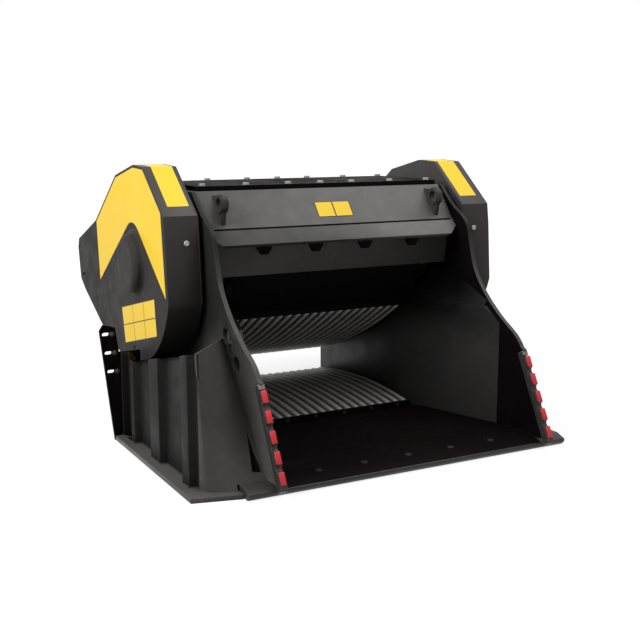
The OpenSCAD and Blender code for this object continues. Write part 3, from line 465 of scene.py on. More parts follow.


# Nodes given INNER, here and in REST, are near black as painted shade
ROUNDED: dict[str, Rounding] = {
    **both("side_plate", Rounding(Finishes.SIDE, 0.003)),
    **both("side_cutter", Rounding(Finishes.EDGE, 0.0015)),
    "tooth_caps": Rounding(Finishes.TOOTH, 0.0015),
    "base_plate": Rounding(Finishes.OUTER, 0.003),
    "floor_plate": Rounding(Finishes.INNER, 0.003),
    "side_shell_left": Rounding(Finishes.SHELL, 0.006, 3),
    "side_guard_right": Rounding(Finishes.BLACK, 0.006, 3),
    "wing_plate_left": Rounding(Finishes.INNER, 0.002),
    "end_plate_right": Rounding(Finishes.PLATE, 0.002),
    "top_beam": Rounding(Finishes.PANEL, 0.004, 3),
    "beam_tabs": Rounding(Finishes.INNER, 0.002),
    "lift_lugs": Rounding(Finishes.FRONT, 0.003, 3),
    "coupler_plate": Rounding(Finishes.INNER, 0.003),
    "apron_plate": Rounding(Finishes.APRON, 0.002),
    "rear_cover": Rounding(Finishes.PLATE, 0.002),
    "rear_beam": Rounding(Finishes.PLATE, 0.003),
    **both("cheek_plate", Rounding(Finishes.CHEEK, 0.002)),
    **both("casing", Rounding(Finishes.CASING, 0.008, 3)),
    **both("casing_back", Rounding(Finishes.FRONT, 0.002)),
    "swing_jaw": Rounding(Finishes.CASTING, 0.003, body=Body.JAW),
    "jaw_webs": Rounding(Finishes.CASTING, 0.003, body=Body.JAW),
    "jaw_head": Rounding(Finishes.CASTING, 0.003, body=Body.JAW),
    "moving_jaw_clamp": Rounding(Finishes.INNER, 0.002, body=Body.JAW),
    **both("bearing_housing", Rounding(Finishes.CASTING, 0.002)),
    "hydraulic_motor": Rounding(Finishes.BLACK, 0.002),
    "toggle_block": Rounding(Finishes.CASTING, 0.002),
    "port_block": Rounding(Finishes.MACHINED, 0.0015),
}
REST: dict[Finishes, tuple[str, ...]] = {
    Finishes.CASTING: ("jaw_bed", "spring_cups"),
    Finishes.INNER: ("fixed_jaw_clamp",),
    Finishes.DARK_BOLT: ("clamp_bolts", "cheek_bolts"),
    Finishes.BRONZE: ("jaw_bushes",),
    Finishes.MACHINED: ("eccentric_shaft", "toggle_plate", "shim_pack", "tension_rods", "hub_caps"),
    Finishes.BEARING: ("main_bearing_left", "main_bearing_right"),
    Finishes.WHEEL: ("flywheel_left", "flywheel_right", "motor_pulley"),
    Finishes.BELT: ("drive_belts",),
}


class Bench:
    """Blender's operators on one piece at a time, as they are used by hand."""

    @staticmethod
    def wake(*pieces: Piece) -> None:
        """Selects these pieces alone and makes the first one active."""
        bpy.ops.object.select_all(action="DESELECT")
        for piece in pieces:
            piece.select_set(True)
        bpy.context.view_layer.objects.active = pieces[0]

    @staticmethod
    @contextmanager
    def edit(piece: Piece) -> Iterator[None]:
        """Opens a piece in edit mode with everything selected, and closes it again.

        Args:
            piece: The piece.

        Yields:
            Nothing, while the piece is open.
        """
        Bench.wake(piece)
        bpy.ops.object.mode_set(mode="EDIT")
        bpy.ops.mesh.select_all(action="SELECT")
        yield
        bpy.ops.object.mode_set(mode="OBJECT")

    @staticmethod
    def keep(name: str) -> Piece:
        """Names the active piece, puts its place into its mesh and returns it.

        Args:
            name: Its name.

        Returns:
            The piece.
        """
        piece = bpy.context.active_object
        Bench.wake(piece)
        bpy.ops.object.transform_apply(location=True, rotation=True, scale=True)
        piece.name = piece.data.name = name
        return piece

    @staticmethod
    def link(name: str, mesh: bpy.types.Mesh) -> Piece:
        """Makes an object with its own copy of a mesh.

        Args:
            name: Its name.
            mesh: The mesh.

        Returns:
            The object.
        """
        piece = bpy.data.objects.new(name, mesh.copy())
        bpy.context.scene.collection.objects.link(piece)
        return piece

    @staticmethod
    def copy(node: str, name: str, flat: float = 0.6) -> Piece:
        """Copies a CAD node's mesh, merges its loose triangles and joins faces within that many degrees.

        Args:
            node: The CAD node's name.
            name: The copy's name.
            flat: Degrees between joined faces.

        Returns:
            The copy.
        """
        piece = Bench.link(name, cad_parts[node].data)
        piece.data.materials.clear()
        with Bench.edit(piece):
            bpy.ops.mesh.remove_doubles(threshold=SAME)
            bpy.ops.mesh.dissolve_limited(angle_limit=math.radians(flat))
        return piece

    @staticmethod
    def pick(piece: Piece, test: Callable[[object], bool], part: Part = Part.FACE) -> None:
        """Selects the mesh parts that pass a test.

        Args:
            piece: The piece, in edit mode.
            test: Takes a BMesh face or edge.
            part: Which of the two is tested.
        """
        bpy.ops.mesh.select_mode(type=part.value)
        bpy.ops.mesh.select_all(action="DESELECT")
        mesh = bmesh.from_edit_mesh(piece.data)
        for p in [p for p in (mesh.faces if part is Part.FACE else mesh.edges) if test(p)]:
            p.select_set(True)
        bmesh.update_edit_mesh(piece.data)

    @staticmethod
    def crop(piece: Piece, test: Callable[[object], bool]) -> None:
        """Keeps only the faces that pass a test.

        Args:
            piece: The piece.
            test: Takes a face and says whether it passes.
        """
        with Bench.edit(piece):
            Bench.pick(piece, lambda face: not test(face))
            bpy.ops.mesh.delete(type="FACE")

    @staticmethod
    def cut(piece: Piece, at: Point, normal: Point, clear: bool = True) -> None:
        """Cuts the piece by a plane through a point.

        Args:
            piece: The piece.
            at: The point.
            normal: The plane's normal.
            clear: Whether what lies ahead of the normal goes.
        """
        with Bench.edit(piece):
            bpy.ops.mesh.bisect(plane_co=at, plane_no=normal, clear_outer=clear)

    @staticmethod
    def mend() -> None:
        """Turns all normals of the piece in edit mode outward."""
        bpy.ops.mesh.select_all(action="SELECT")
        bpy.ops.mesh.normals_make_consistent(inside=False)

    @staticmethod
    def carve(piece: Piece, outline: Sequence[Point], run: Point) -> None:
        """Cuts a prism out of a closed piece.

        Args:
            piece: The piece.
            outline: The prism's flat foot.
            run: The way from its foot to its top.
        """
        bpy.ops.mesh.primitive_circle_add(vertices=len(outline), radius=1.0, fill_type="NGON")
        tool = bpy.context.active_object
        for vertex, place in zip(tool.data.vertices, outline):
            vertex.co = place
        with Bench.edit(tool):
            bpy.ops.mesh.extrude_region_move(TRANSFORM_OT_translate={"value": run})
            Bench.mend()
        Bench.modify(piece, "BOOLEAN", operation="DIFFERENCE", solver="EXACT", object=tool)
        Bench.drop(tool)

    @staticmethod
    def modify(piece: Piece, kind: str, **settings: object) -> None:
        """Adds a modifier with these settings and applies it.

        Args:
            piece: The piece.
            kind: The modifier's type.
            settings: Its properties.
        """
        Bench.wake(piece)
        modifier = piece.modifiers.new(kind.title(), kind)
        for key, value in settings.items():
            setattr(modifier, key, value)
        bpy.ops.object.modifier_apply(modifier=modifier.name)

    @staticmethod
    def round(piece: Piece, width: float, segments: int = 2, angle: float = 28.0) -> None:
        """Rounds the piece's edges past an angle in degrees, in that many faces, and shades it.

        Args:
            piece: The piece.
            width: The rounding's width.
            segments: Faces across it.
            angle: Degrees past which an edge is rounded.
        """
        Bench.modify(
            piece, "BEVEL", width=width, segments=segments, limit_method="ANGLE",
            angle_limit=math.radians(angle), use_clamp_overlap=True,
        )
        Bench.shade(piece)

    @staticmethod
    def shade(piece: Piece, angle: float = 32.0) -> None:
        """Shades the piece smooth, but for edges past an angle in degrees."""
        Bench.wake(piece)
        bpy.ops.object.shade_smooth_by_angle(angle=math.radians(angle))

    @staticmethod
    def join(name: str, pieces: Sequence[Piece]) -> Piece:
        """Joins pieces into one of that name.

        Args:
            name: Its name.
            pieces: The pieces.

        Returns:
            The joined piece.
        """
        Bench.wake(*pieces)
        if len(pieces) > 1:
            bpy.ops.object.join()
        return Bench.keep(name)

    @staticmethod
    def aim(piece: Piece, at: Point | Vector, out: Point | Vector) -> None:
        """Moves a piece that stands on the origin along +Z to a place, pointing out."""
        turn = Vector(out).to_track_quat("Z", "Y").to_matrix().to_4x4()
        piece.data.transform(Matrix.Translation(Vector(at)) @ turn)

    @staticmethod
    def cylinder(name: str, radius: float, low: float, high: float, vertices: int) -> Piece:
        """Models an upright cylinder on the origin, between two heights.

        Args:
            name: Its name.
            radius: Its radius.
            low: Its foot.
            high: Its top.
            vertices: Its sides.

        Returns:
            The piece.
        """
        bpy.ops.mesh.primitive_cylinder_add(
            vertices=vertices, radius=radius, depth=high - low, location=(0, 0, (low + high) / 2)
        )
        return Bench.keep(name)

    @staticmethod
    def drop(piece: Piece) -> None:
        """Deletes a piece that was only a pattern or a tool."""
        Bench.wake(piece)
        bpy.ops.object.delete()

    @staticmethod
    def bead(a: Point, b: Point, radius: float, taper: float = 0.45, tip: float = 0.3) -> Piece:
        """A straight bead between two points, eight-sided, with ends that taper over shares of its radius.

        Args:
            a: Its start.
            b: Its end.
            radius: Its radius.
            taper: How far its ends narrow.
            tip: How far they reach on.

        Returns:
            The bead.
        """
        start, end = Vector(a), Vector(b)
        bpy.ops.mesh.primitive_cylinder_add(
            vertices=8, radius=radius, depth=(end - start).length, end_fill_type="NGON"
        )
        piece = bpy.context.active_object
        with Bench.edit(piece):
            Bench.pick(piece, lambda face: abs(face.normal.z) > FACING)
            bpy.ops.mesh.inset(thickness=radius * taper, depth=radius * tip)
        Bench.aim(piece, (start + end) / 2, end - start)
        return piece


@dataclass
class Fastener:
    """A hexagon head on a washer, as high as its CAD stand-in."""

    radius: float
    height: float
    washer: float = 1.16
    washer_share: float = 0.2
    washer_round: float = 0.3
    chamfer_share: float = 0.16
    corner_round: float = 0.06

    def model(self) -> Piece:
        """Models one fastener on the origin, pointing up.

        Returns:
            The model.
        """
        foot = self.height * self.washer_share
        washer = Bench.cylinder("washer", self.radius * self.washer, 0.0, foot, 24)
        Bench.round(washer, foot * self.washer_round, 1)
        head = Bench.cylinder("head", self.radius, foot, self.height, 6)
        chamfer = (self.height - foot) * self.chamfer_share
        with Bench.edit(head):
            Bench.pick(head, lambda face: face.normal.z > FACING)
            bpy.ops.mesh.bevel(offset=chamfer, segments=2, affect="EDGES")
        Bench.round(head, self.radius * self.corner_round, 1)
        return Bench.join("fastener", [head, washer])

    def row(self, name: str, places: Iterable[Point], out: Point) -> Piece:
        """Sets fasteners at places, all pointing one way, as one piece.

        Args:
            name: The row's name.
            places: Where they stand.
            out: The way that they point.

        Returns:
            The row.
        """
        model = self.model()
        copies = []
        for at in places:
            copies.append(Bench.link("fastener_copy", model.data))
            Bench.aim(copies[-1], at, out)
        Bench.drop(model)
        return Bench.join(name, copies)


@dataclass
class RoundHead(Fastener):
    """A round head with a socket, such as a pan head screw."""

    crown_share: float = 0.4
    socket_in: float = 0.18
    socket_wall: float = 0.04
    socket_share: float = 0.45

    def model(self) -> Piece:
        """Models one screw head on the origin, pointing up.

        Returns:
            The model.
        """
        head = Bench.cylinder("head", self.radius, 0.0, self.height, 32)
        with Bench.edit(head):
            Bench.pick(head, lambda face: face.normal.z > FACING)
            bpy.ops.mesh.bevel(offset=self.height * self.crown_share, segments=3, affect="EDGES")
            Bench.pick(head, lambda face: face.normal.z > FLAT)
            bpy.ops.mesh.inset(thickness=self.radius * self.socket_in)
            bpy.ops.mesh.inset(
                thickness=self.radius * self.socket_wall, depth=-self.height * self.socket_share
            )
        Bench.shade(head)
        return head


class Dresser:
    """Gives pieces their finish and body, and reports them."""

    def __init__(self) -> None:
        """Starts with no material made."""
        self.made: dict[str, bpy.types.Material] = {}
        self.done: set[str] = set()

    def material(self, finish: Finish) -> bpy.types.Material:
        """Returns a finish's material, made once.

        Args:
            finish: The surface.

        Returns:
            The material.
        """
        if finish.name not in self.made:
            self.made[finish.name] = finish.build()
        return self.made[finish.name]

    def piece(self, piece: Piece, finish: Finishes | Finish, *nodes: str, body: Body = Body.FRAME) -> Piece:
        """Dresses a new piece.

        Args:
            piece: The piece, with its place in its mesh.
            finish: Its surface.
            nodes: CAD nodes that it stands for.
            body: The body that it rides on.

        Returns:
            The piece.
        """
        finish = finish.value if isinstance(finish, Finishes) else finish
        piece.data.materials.clear()
        piece.data.materials.append(self.material(finish))
        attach(piece, body.value)
        if nodes:
            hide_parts(*nodes)
            self.done.update(nodes)
        log.info("piece %s: %s, %d faces", piece.name, finish.name, len(piece.data.polygons))
        return piece

    def node(self, name: str, finish: Finishes) -> None:
        """Gives a CAD node that stays its finish.

        Args:
            name: The node's name.
            finish: The surface.
        """
        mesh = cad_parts[name].data
        mesh.materials.clear()
        mesh.materials.append(self.material(finish.value))
        self.done.add(name)
        log.info("node %s: %s", name, finish.value.name)

    def faces(self, piece: Piece, finish: Finishes, test: Callable[[bpy.types.MeshPolygon], bool]) -> None:
        """Gives the faces of a dressed piece that pass a test a finish of their own.

        Args:
            piece: The piece.
            finish: The surface.
            test: Takes a face and says whether it passes.
        """
        piece.data.materials.append(self.material(finish.value))
        chosen = [face for face in piece.data.polygons if test(face)]
        for face in chosen:
            face.material_index = len(piece.data.materials) - 1
        log.info("piece %s: %s on %d faces", piece.name, finish.value.name, len(chosen))

    def rounded(self, node: str) -> Piece:
        """Replaces a CAD node by a copy with rounded edges, as its rounding says, and returns the copy.

        Args:
            node: The CAD node's name.

        Returns:
            The copy.
        """
        how = ROUNDED[node]
        piece = Bench.copy(node, f"{node}_finished")
        Bench.round(piece, how.width, how.segments)
        return self.piece(piece, how.finish, node, body=how.body)

    def label(
        self, name: str, corners: Sequence[Point], fields: tuple[int, int], line: float, thick: float = 0.0016
    ) -> None:
        """Lays a thin plate of plain yellow fields with dark lines between them.

        Args:
            name: The piece's name.
            corners: Its corners, in turn.
            fields: How many fields along its first and its second side.
            line: Width of the lines between fields, in metres.
            thick: The plate's thickness.
        """
        bpy.ops.mesh.primitive_grid_add(x_subdivisions=fields[0], y_subdivisions=fields[1], size=2.0)
        piece = bpy.context.active_object
        a, b, c, d = (Vector(corner) for corner in corners)
        for vertex in piece.data.vertices:
            u, v = (vertex.co.x + 1) / 2, (vertex.co.y + 1) / 2
            vertex.co = a.lerp(b, u).lerp(d.lerp(c, u), v)
        piece = Bench.keep(name)
        with Bench.edit(piece):
            bpy.ops.mesh.inset(thickness=line, use_boundary=True, use_individual=True)
        plain = {face.index for face in piece.data.polygons if face.select}
        self.piece(piece, Finishes.INK)
        self.faces(piece, Finishes.YELLOW, lambda face: face.index in plain)
        Bench.modify(piece, "SOLIDIFY", thickness=thick, offset=0.0)


@dataclass
class Mouth:
    """Side plates, cutters and the cutting edge."""

    dresser: Dresser
    stop_z: float = 0.370
    rim_share: float = 0.8
    edge_round: float = 0.003
    bolt: RoundHead = field(default_factory=lambda: RoundHead(0.014, 0.005))
    bolt_n: int = 5
    bolt_in: float = 0.198
    bolt_y: float = -0.855

    def build(self) -> None:
        """Builds and dresses the mouth."""
        for side in Side:
            self.plate(side)
            cutter = self.dresser.rounded(side.node("side_cutter"))
            self.dresser.faces(cutter, Finishes.STOP, lambda face: face.center.z > self.stop_z)
        self.edge()
        self.bolts()

    def plate(self, side: Side) -> None:
        """Dresses a side plate: near black inside as painted shade, satin outside, and lighter along its cut
        edge as a painted highlight, with real wear on its corners.

        Args:
            side: The side.
        """
        plate = self.dresser.rounded(side.node("side_plate"))
        # Painted shade on the inward faces, and a painted highlight on the faces along the cut edge
        self.dresser.faces(plate, Finishes.INNER, lambda face: face.normal.x * side.value < -FACING)
        self.dresser.faces(plate, Finishes.RIM, lambda face: abs(face.normal.x) < self.rim_share)

    def edge(self) -> None:
        """Dresses the cutting edge: scraped at its ends, with near black painted shade on top between the
        side plates.
        """
        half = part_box("side_plate_right")[0].x
        edge = Bench.copy("cutting_edge", "cutting_edge_finished")
        for x in (-half, half):
            Bench.cut(edge, (x, 0, 0), (1, 0, 0), clear=False)
        Bench.round(edge, self.edge_round)
        self.dresser.piece(edge, Finishes.EDGE, "cutting_edge")
        # Painted shade: the top between the side plates is near black
        self.dresser.faces(
            edge, Finishes.INNER, lambda face: face.normal.z > FACING and abs(face.center.x) < half
        )

    def bolts(self) -> None:
        """Sets the round heads in the cutting edge."""
        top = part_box("cutting_edge")[1].z
        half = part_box("floor_plate")[1].x - self.bolt_in
        step = 2 * half / (self.bolt_n - 1)
        places = [(i * step - half, self.bolt_y, top) for i in range(self.bolt_n)]
        self.dresser.piece(
            self.bolt.row("edge_bolt_heads", places, (0, 0, 1)), Finishes.DARK_BOLT, "edge_bolts"
        )


@dataclass
class Flanks:
    """The corner panel, the wing plate's bolts and the welds of both ribbed sheets."""

    dresser: Dresser
    bolt: Fastener = field(default_factory=lambda: Fastener(0.009, 0.009))
    bolt_in: float = 0.050
    wing_lean: float = 0.051 / 0.475
    slot_places: tuple[float, ...] = (0.300, 0.380, 0.460)
    bead_r: float = 0.004
    bead_lift: float = 0.3
    foot_gap: float = 0.009
    sheet_t: float = 0.008
    smooth: float = 50.0
    corner: Point = (-0.850, -0.777, 0.521)
    shoulder: Pair = (-0.475, 0.503)
    foot_run: float = 0.103
    foot_shares: tuple[Pair, ...] = (
        (1, 0), (0.983, 0.22), (0.939, 0.42), (0.783, 0.66), (0.517, 0.87), (0, 1)
    )
    foot_steps: int = 5
    rows: int = 24
    vent: tuple[Pair, ...] = ((0.024, 0.204), (0.048, 0.072), (0.004, 0.064), (0.017, 0.130))
    vent_run: float = 1.2
    over: float = 0.01

    def build(self) -> None:
        """Builds and dresses the corner panel, both ribbed sheets and their welds and bolts."""
        self.panel()
        self.bolts()
        for node in ("side_shell_left", "side_guard_right"):
            self.dresser.rounded(node)
            self.welds(node)

    def panel(self) -> None:
        """Models the corner panel as a smooth ruled sheet, cut at its window and over the cutting edge."""
        shares = self.shares()
        plate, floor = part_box("side_plate_left")[0].x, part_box("base_plate")[1].z
        corner, shoulder = Vector(self.corner), Vector((plate, *self.shoulder))
        columns = len(shares) - 1
        bpy.ops.mesh.primitive_grid_add(x_subdivisions=columns, y_subdivisions=self.rows, size=2.0)
        for vertex in bpy.context.active_object.data.vertices:
            side, front = shares[round((vertex.co.x + 1) / 2 * columns)]
            foot = Vector((plate + (corner.x - plate) * side, corner.y - self.foot_run * front, floor))
            vertex.co = foot.lerp(corner * side + shoulder * (1 - side), (vertex.co.y + 1) / 2)
        sheet = Bench.keep("corner_panel_sheet")
        with Bench.edit(sheet):
            Bench.mend()
        outward = sheet.data.polygons[0].normal.y < 0
        Bench.modify(sheet, "SOLIDIFY", thickness=self.sheet_t, offset=-1.0 if outward else 1.0)
        low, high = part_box("cutting_edge")
        end, under = low.x - self.over, -self.over
        block = [(end, low.y, under), (0, low.y, under), (0, high.y, under), (end, high.y, under)]
        Bench.carve(sheet, block, (0, 0, high.z - under))
        Bench.carve(sheet, [(plate - x, -self.vent_run, z) for x, z in self.vent], (0, self.vent_run, 0))
        Bench.shade(sheet, self.smooth)
        self.dresser.piece(sheet, Finishes.CORNER, "corner_panel")

    def shares(self) -> list[Pair]:
        """Returns the panel's foot curve, smoothed, as shares of its width and of its run.

        Returns:
            Shares of the width and of the run, from the corner to the plate.
        """
        knots = [Vector(k) for k in self.foot_shares]
        knots = [2 * knots[0] - knots[1], *knots, 2 * knots[-1] - knots[-2]]
        found = []
        for a, b, c, d in zip(knots, knots[1:], knots[2:], knots[3:]):
            for step in range(self.foot_steps):
                t = step / self.foot_steps
                found.append((2 * b + (c - a) * t + (2 * a - 5 * b + 4 * c - d) * t ** 2
                              + (3 * b - a - 3 * c + d) * t ** 3) / 2)
        return [tuple(p) for p in (*found, knots[-2])]

    def bolts(self) -> None:
        """Sets the bolts beside the wing plate's slots."""
        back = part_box("wing_bolts")[1].y
        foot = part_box("base_plate")[0].x + self.bolt_in
        places = [(foot - self.wing_lean * z, back, z) for z in self.slot_places]
        self.dresser.piece(
            self.bolt.row("wing_bolt_heads", places, (0, -1, 0)), Finishes.GREY_BOLT, "wing_bolts"
        )

    def welds(self, node: str) -> None:
        """Lays a weld bead along the foot of a ribbed sheet, on its outer side.

        Args:
            node: The sheet's CAD node.
        """
        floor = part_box(node)[0].z
        piece = Bench.copy(node, f"{node}_foot")
        foot = sorted(
            {(round(v.co.x, 5), round(v.co.y, 5)) for v in piece.data.vertices if v.co.z < floor + NEAR},
            key=lambda p: (p[1], -abs(p[0])),
        )
        Bench.drop(piece)
        points = [(x, y, floor + self.bead_r * self.bead_lift) for x, y in self.outline(foot)]
        beads = [Bench.bead(a, b, self.bead_r) for a, b in zip(points, points[1:])]
        self.dresser.piece(Bench.join(f"{node}_weld", beads), Finishes.WELD)

    def outline(self, foot: Sequence[Pair]) -> list[Pair]:
        """Returns the outermost points of a sheet's foot, from the front to the back.

        Args:
            foot: The foot's points, from the front.

        Returns:
            The outer ones.
        """
        outer: list[Pair] = []
        for x, y in foot:
            if outer and abs(outer[-1][1] - y) < self.foot_gap and abs(x) < abs(outer[-1][0]) + NEAR:
                continue
            outer.append((x, y))
        return outer


@dataclass
class Beam:
    """Top beam with a dark bead along its fold as a painted shadow, its label, lug rings and coupler bolts,
    and the apron under it.
    """

    dresser: Dresser
    bolt: Fastener = field(default_factory=lambda: Fastener(0.014, 0.010))
    bolt_in: Pair = (0.032, 0.026)
    bolt_shares: tuple[float, ...] = (-1.0, -0.642, -0.284, 0.0, 0.284, 0.642, 1.0)
    eye_at: Pair = (-0.24939, 1.00445)
    ring_r: float = 0.038
    eye_r: float = 0.024
    ring_h: float = 0.006
    ring_round: float = 0.002
    lug_t: float = 0.020
    slope: tuple[Pair, Pair] = ((-0.275, 0.902), (-0.155, 1.052))
    fold_shadow_in: float = 0.012
    fold_shadow_r: float = 0.004
    apron_shade_top: float = 0.705
    plate_x: Pair = (-0.073, 0.097)
    plate_z: Pair = (0.934, 0.995)
    plate_line: float = 0.003

    def build(self) -> None:
        """Builds and dresses the beam."""
        beam = self.dresser.rounded("top_beam")
        # The flange's faces take their own copy, lighter towards +X: painted light
        self.dresser.faces(beam, Finishes.FLANGE, lambda face: face.center.z < self.slope[0][1])
        apron = self.dresser.rounded("apron_plate")
        # The apron's lower faces: near black, painted shade
        self.dresser.faces(apron, Finishes.INNER, lambda face: face.center.z < self.apron_shade_top)
        self.fold_shadow()
        for side in Side:
            self.ring(side)
        self.bolts()
        self.label()

    def fold_shadow(self) -> None:
        """Lays a dark bead along the fold between the sloped panel and the flange below it: a painted shadow.
        """
        low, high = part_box("top_beam")
        ends = ((x, *self.slope[0]) for x in (low.x + self.fold_shadow_in, high.x - self.fold_shadow_in))
        # A near black bead: painted shadow along the fold
        self.dresser.piece(Bench.join("beam_seam", [Bench.bead(*ends, self.fold_shadow_r)]), Finishes.INNER)

    def ring(self, side: Side) -> None:
        """Models the doubling ring round a lug's eye, on both of its faces.

        Args:
            side: The side.
        """
        low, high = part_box("lift_lugs")
        out = high.x if side is Side.RIGHT else low.x
        bpy.ops.mesh.primitive_cylinder_add(
            vertices=48, radius=self.ring_r, depth=self.lug_t + 2 * self.ring_h,
            location=(out - side.value * self.lug_t / 2, *self.eye_at), rotation=(0, math.pi / 2, 0),
        )
        ring = Bench.keep(side.node("lug_ring"))
        with Bench.edit(ring):
            Bench.pick(ring, lambda face: abs(face.normal.x) > FACING)
            bpy.ops.mesh.inset(thickness=self.ring_r - self.eye_r)
            bpy.ops.mesh.delete(type="FACE")
            Bench.pick(ring, lambda edge: edge.is_boundary, Part.EDGE)
            bpy.ops.mesh.bridge_edge_loops()
            Bench.mend()
        Bench.round(ring, self.ring_round)
        self.dresser.piece(ring, Finishes.FRONT)

    def bolts(self) -> None:
        """Sets the coupler plate's bolts."""
        low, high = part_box("coupler_plate")
        reach = high.x - self.bolt_in[0]
        rows = (low.y + self.bolt_in[1], high.y - self.bolt_in[1])
        places = [(share * reach, y, high.z) for share in self.bolt_shares for y in rows]
        self.dresser.piece(
            self.bolt.row("coupler_bolt_heads", places, (0, 0, 1)), Finishes.BOLT, "coupler_bolts"
        )

    def label(self) -> None:
        """Lays the plain yellow plate on the sloped panel."""
        (y0, z0), (y1, z1) = self.slope
        low, high = ((y0 + (z - z0) * (y1 - y0) / (z1 - z0), z) for z in self.plate_z)
        left, right = self.plate_x
        corners = [(left, *low), (right, *low), (right, *high), (left, *high)]
        self.dresser.label("beam_label", corners, (2, 1), self.plate_line)


@dataclass
class Film:
    """A bent yellow band on a casing's outer face: its borders and its notch, as (y, z) points."""

    margin: float = 0.012
    thickness: float = 0.0006
    front: tuple[Pair, Pair] = ((-0.258, 0.971), (-0.295, 0.642))
    back: tuple[Pair, Pair] = ((0.590, 0.609), (0.619, 0.879))
    notch_front: tuple[Pair, Pair] = ((-0.295, 0.642), (-0.009, 0.865))
    notch_back: tuple[Pair, Pair] = ((0.144, 0.907), (0.590, 0.609))
    apex_round: float = 0.12
    apex_steps: int = 8
    flat_deg: float = 1.0

    @staticmethod
    def plane(line: tuple[Pair, Pair]) -> tuple[Point, Point]:
        """Returns a point and the normal, on the right of a line in the side view."""
        (y0, z0), (y1, z1) = line
        return (0.0, y0, z0), (0.0, z1 - z0, y0 - y1)

    def walls(self) -> list[tuple[Point, Point]]:
        """Returns the planes round the notch: its two sides and the tangents of its rounded apex.

        Returns:
            A point and a normal of each plane.
        """
        sides = [self.plane(line) for line in (self.notch_front, self.notch_back)]
        (at_a, out_a), (at_b, out_b) = ((Vector(at), Vector(out).normalized()) for at, out in sides)
        # The rounding's middle lies inside both sides by its radius
        across = out_a.cross(out_b)
        in_a = out_a.dot(at_a) + self.apex_round
        in_b = out_b.dot(at_b) + self.apex_round
        det = out_a.y * out_b.z - out_a.z * out_b.y
        middle = Vector((0, (in_a * out_b.z - in_b * out_a.z) / det, (out_a.y * in_b - out_b.y * in_a) / det))
        turn = math.copysign(out_a.angle(out_b), across.x)
        tangents = []
        for step in range(1, self.apex_steps):
            out = Matrix.Rotation(turn * step / self.apex_steps, 3, "X") @ out_a
            tangents.append((tuple(middle - out * self.apex_round), tuple(out)))
        return [sides[0], *tangents, sides[1]]


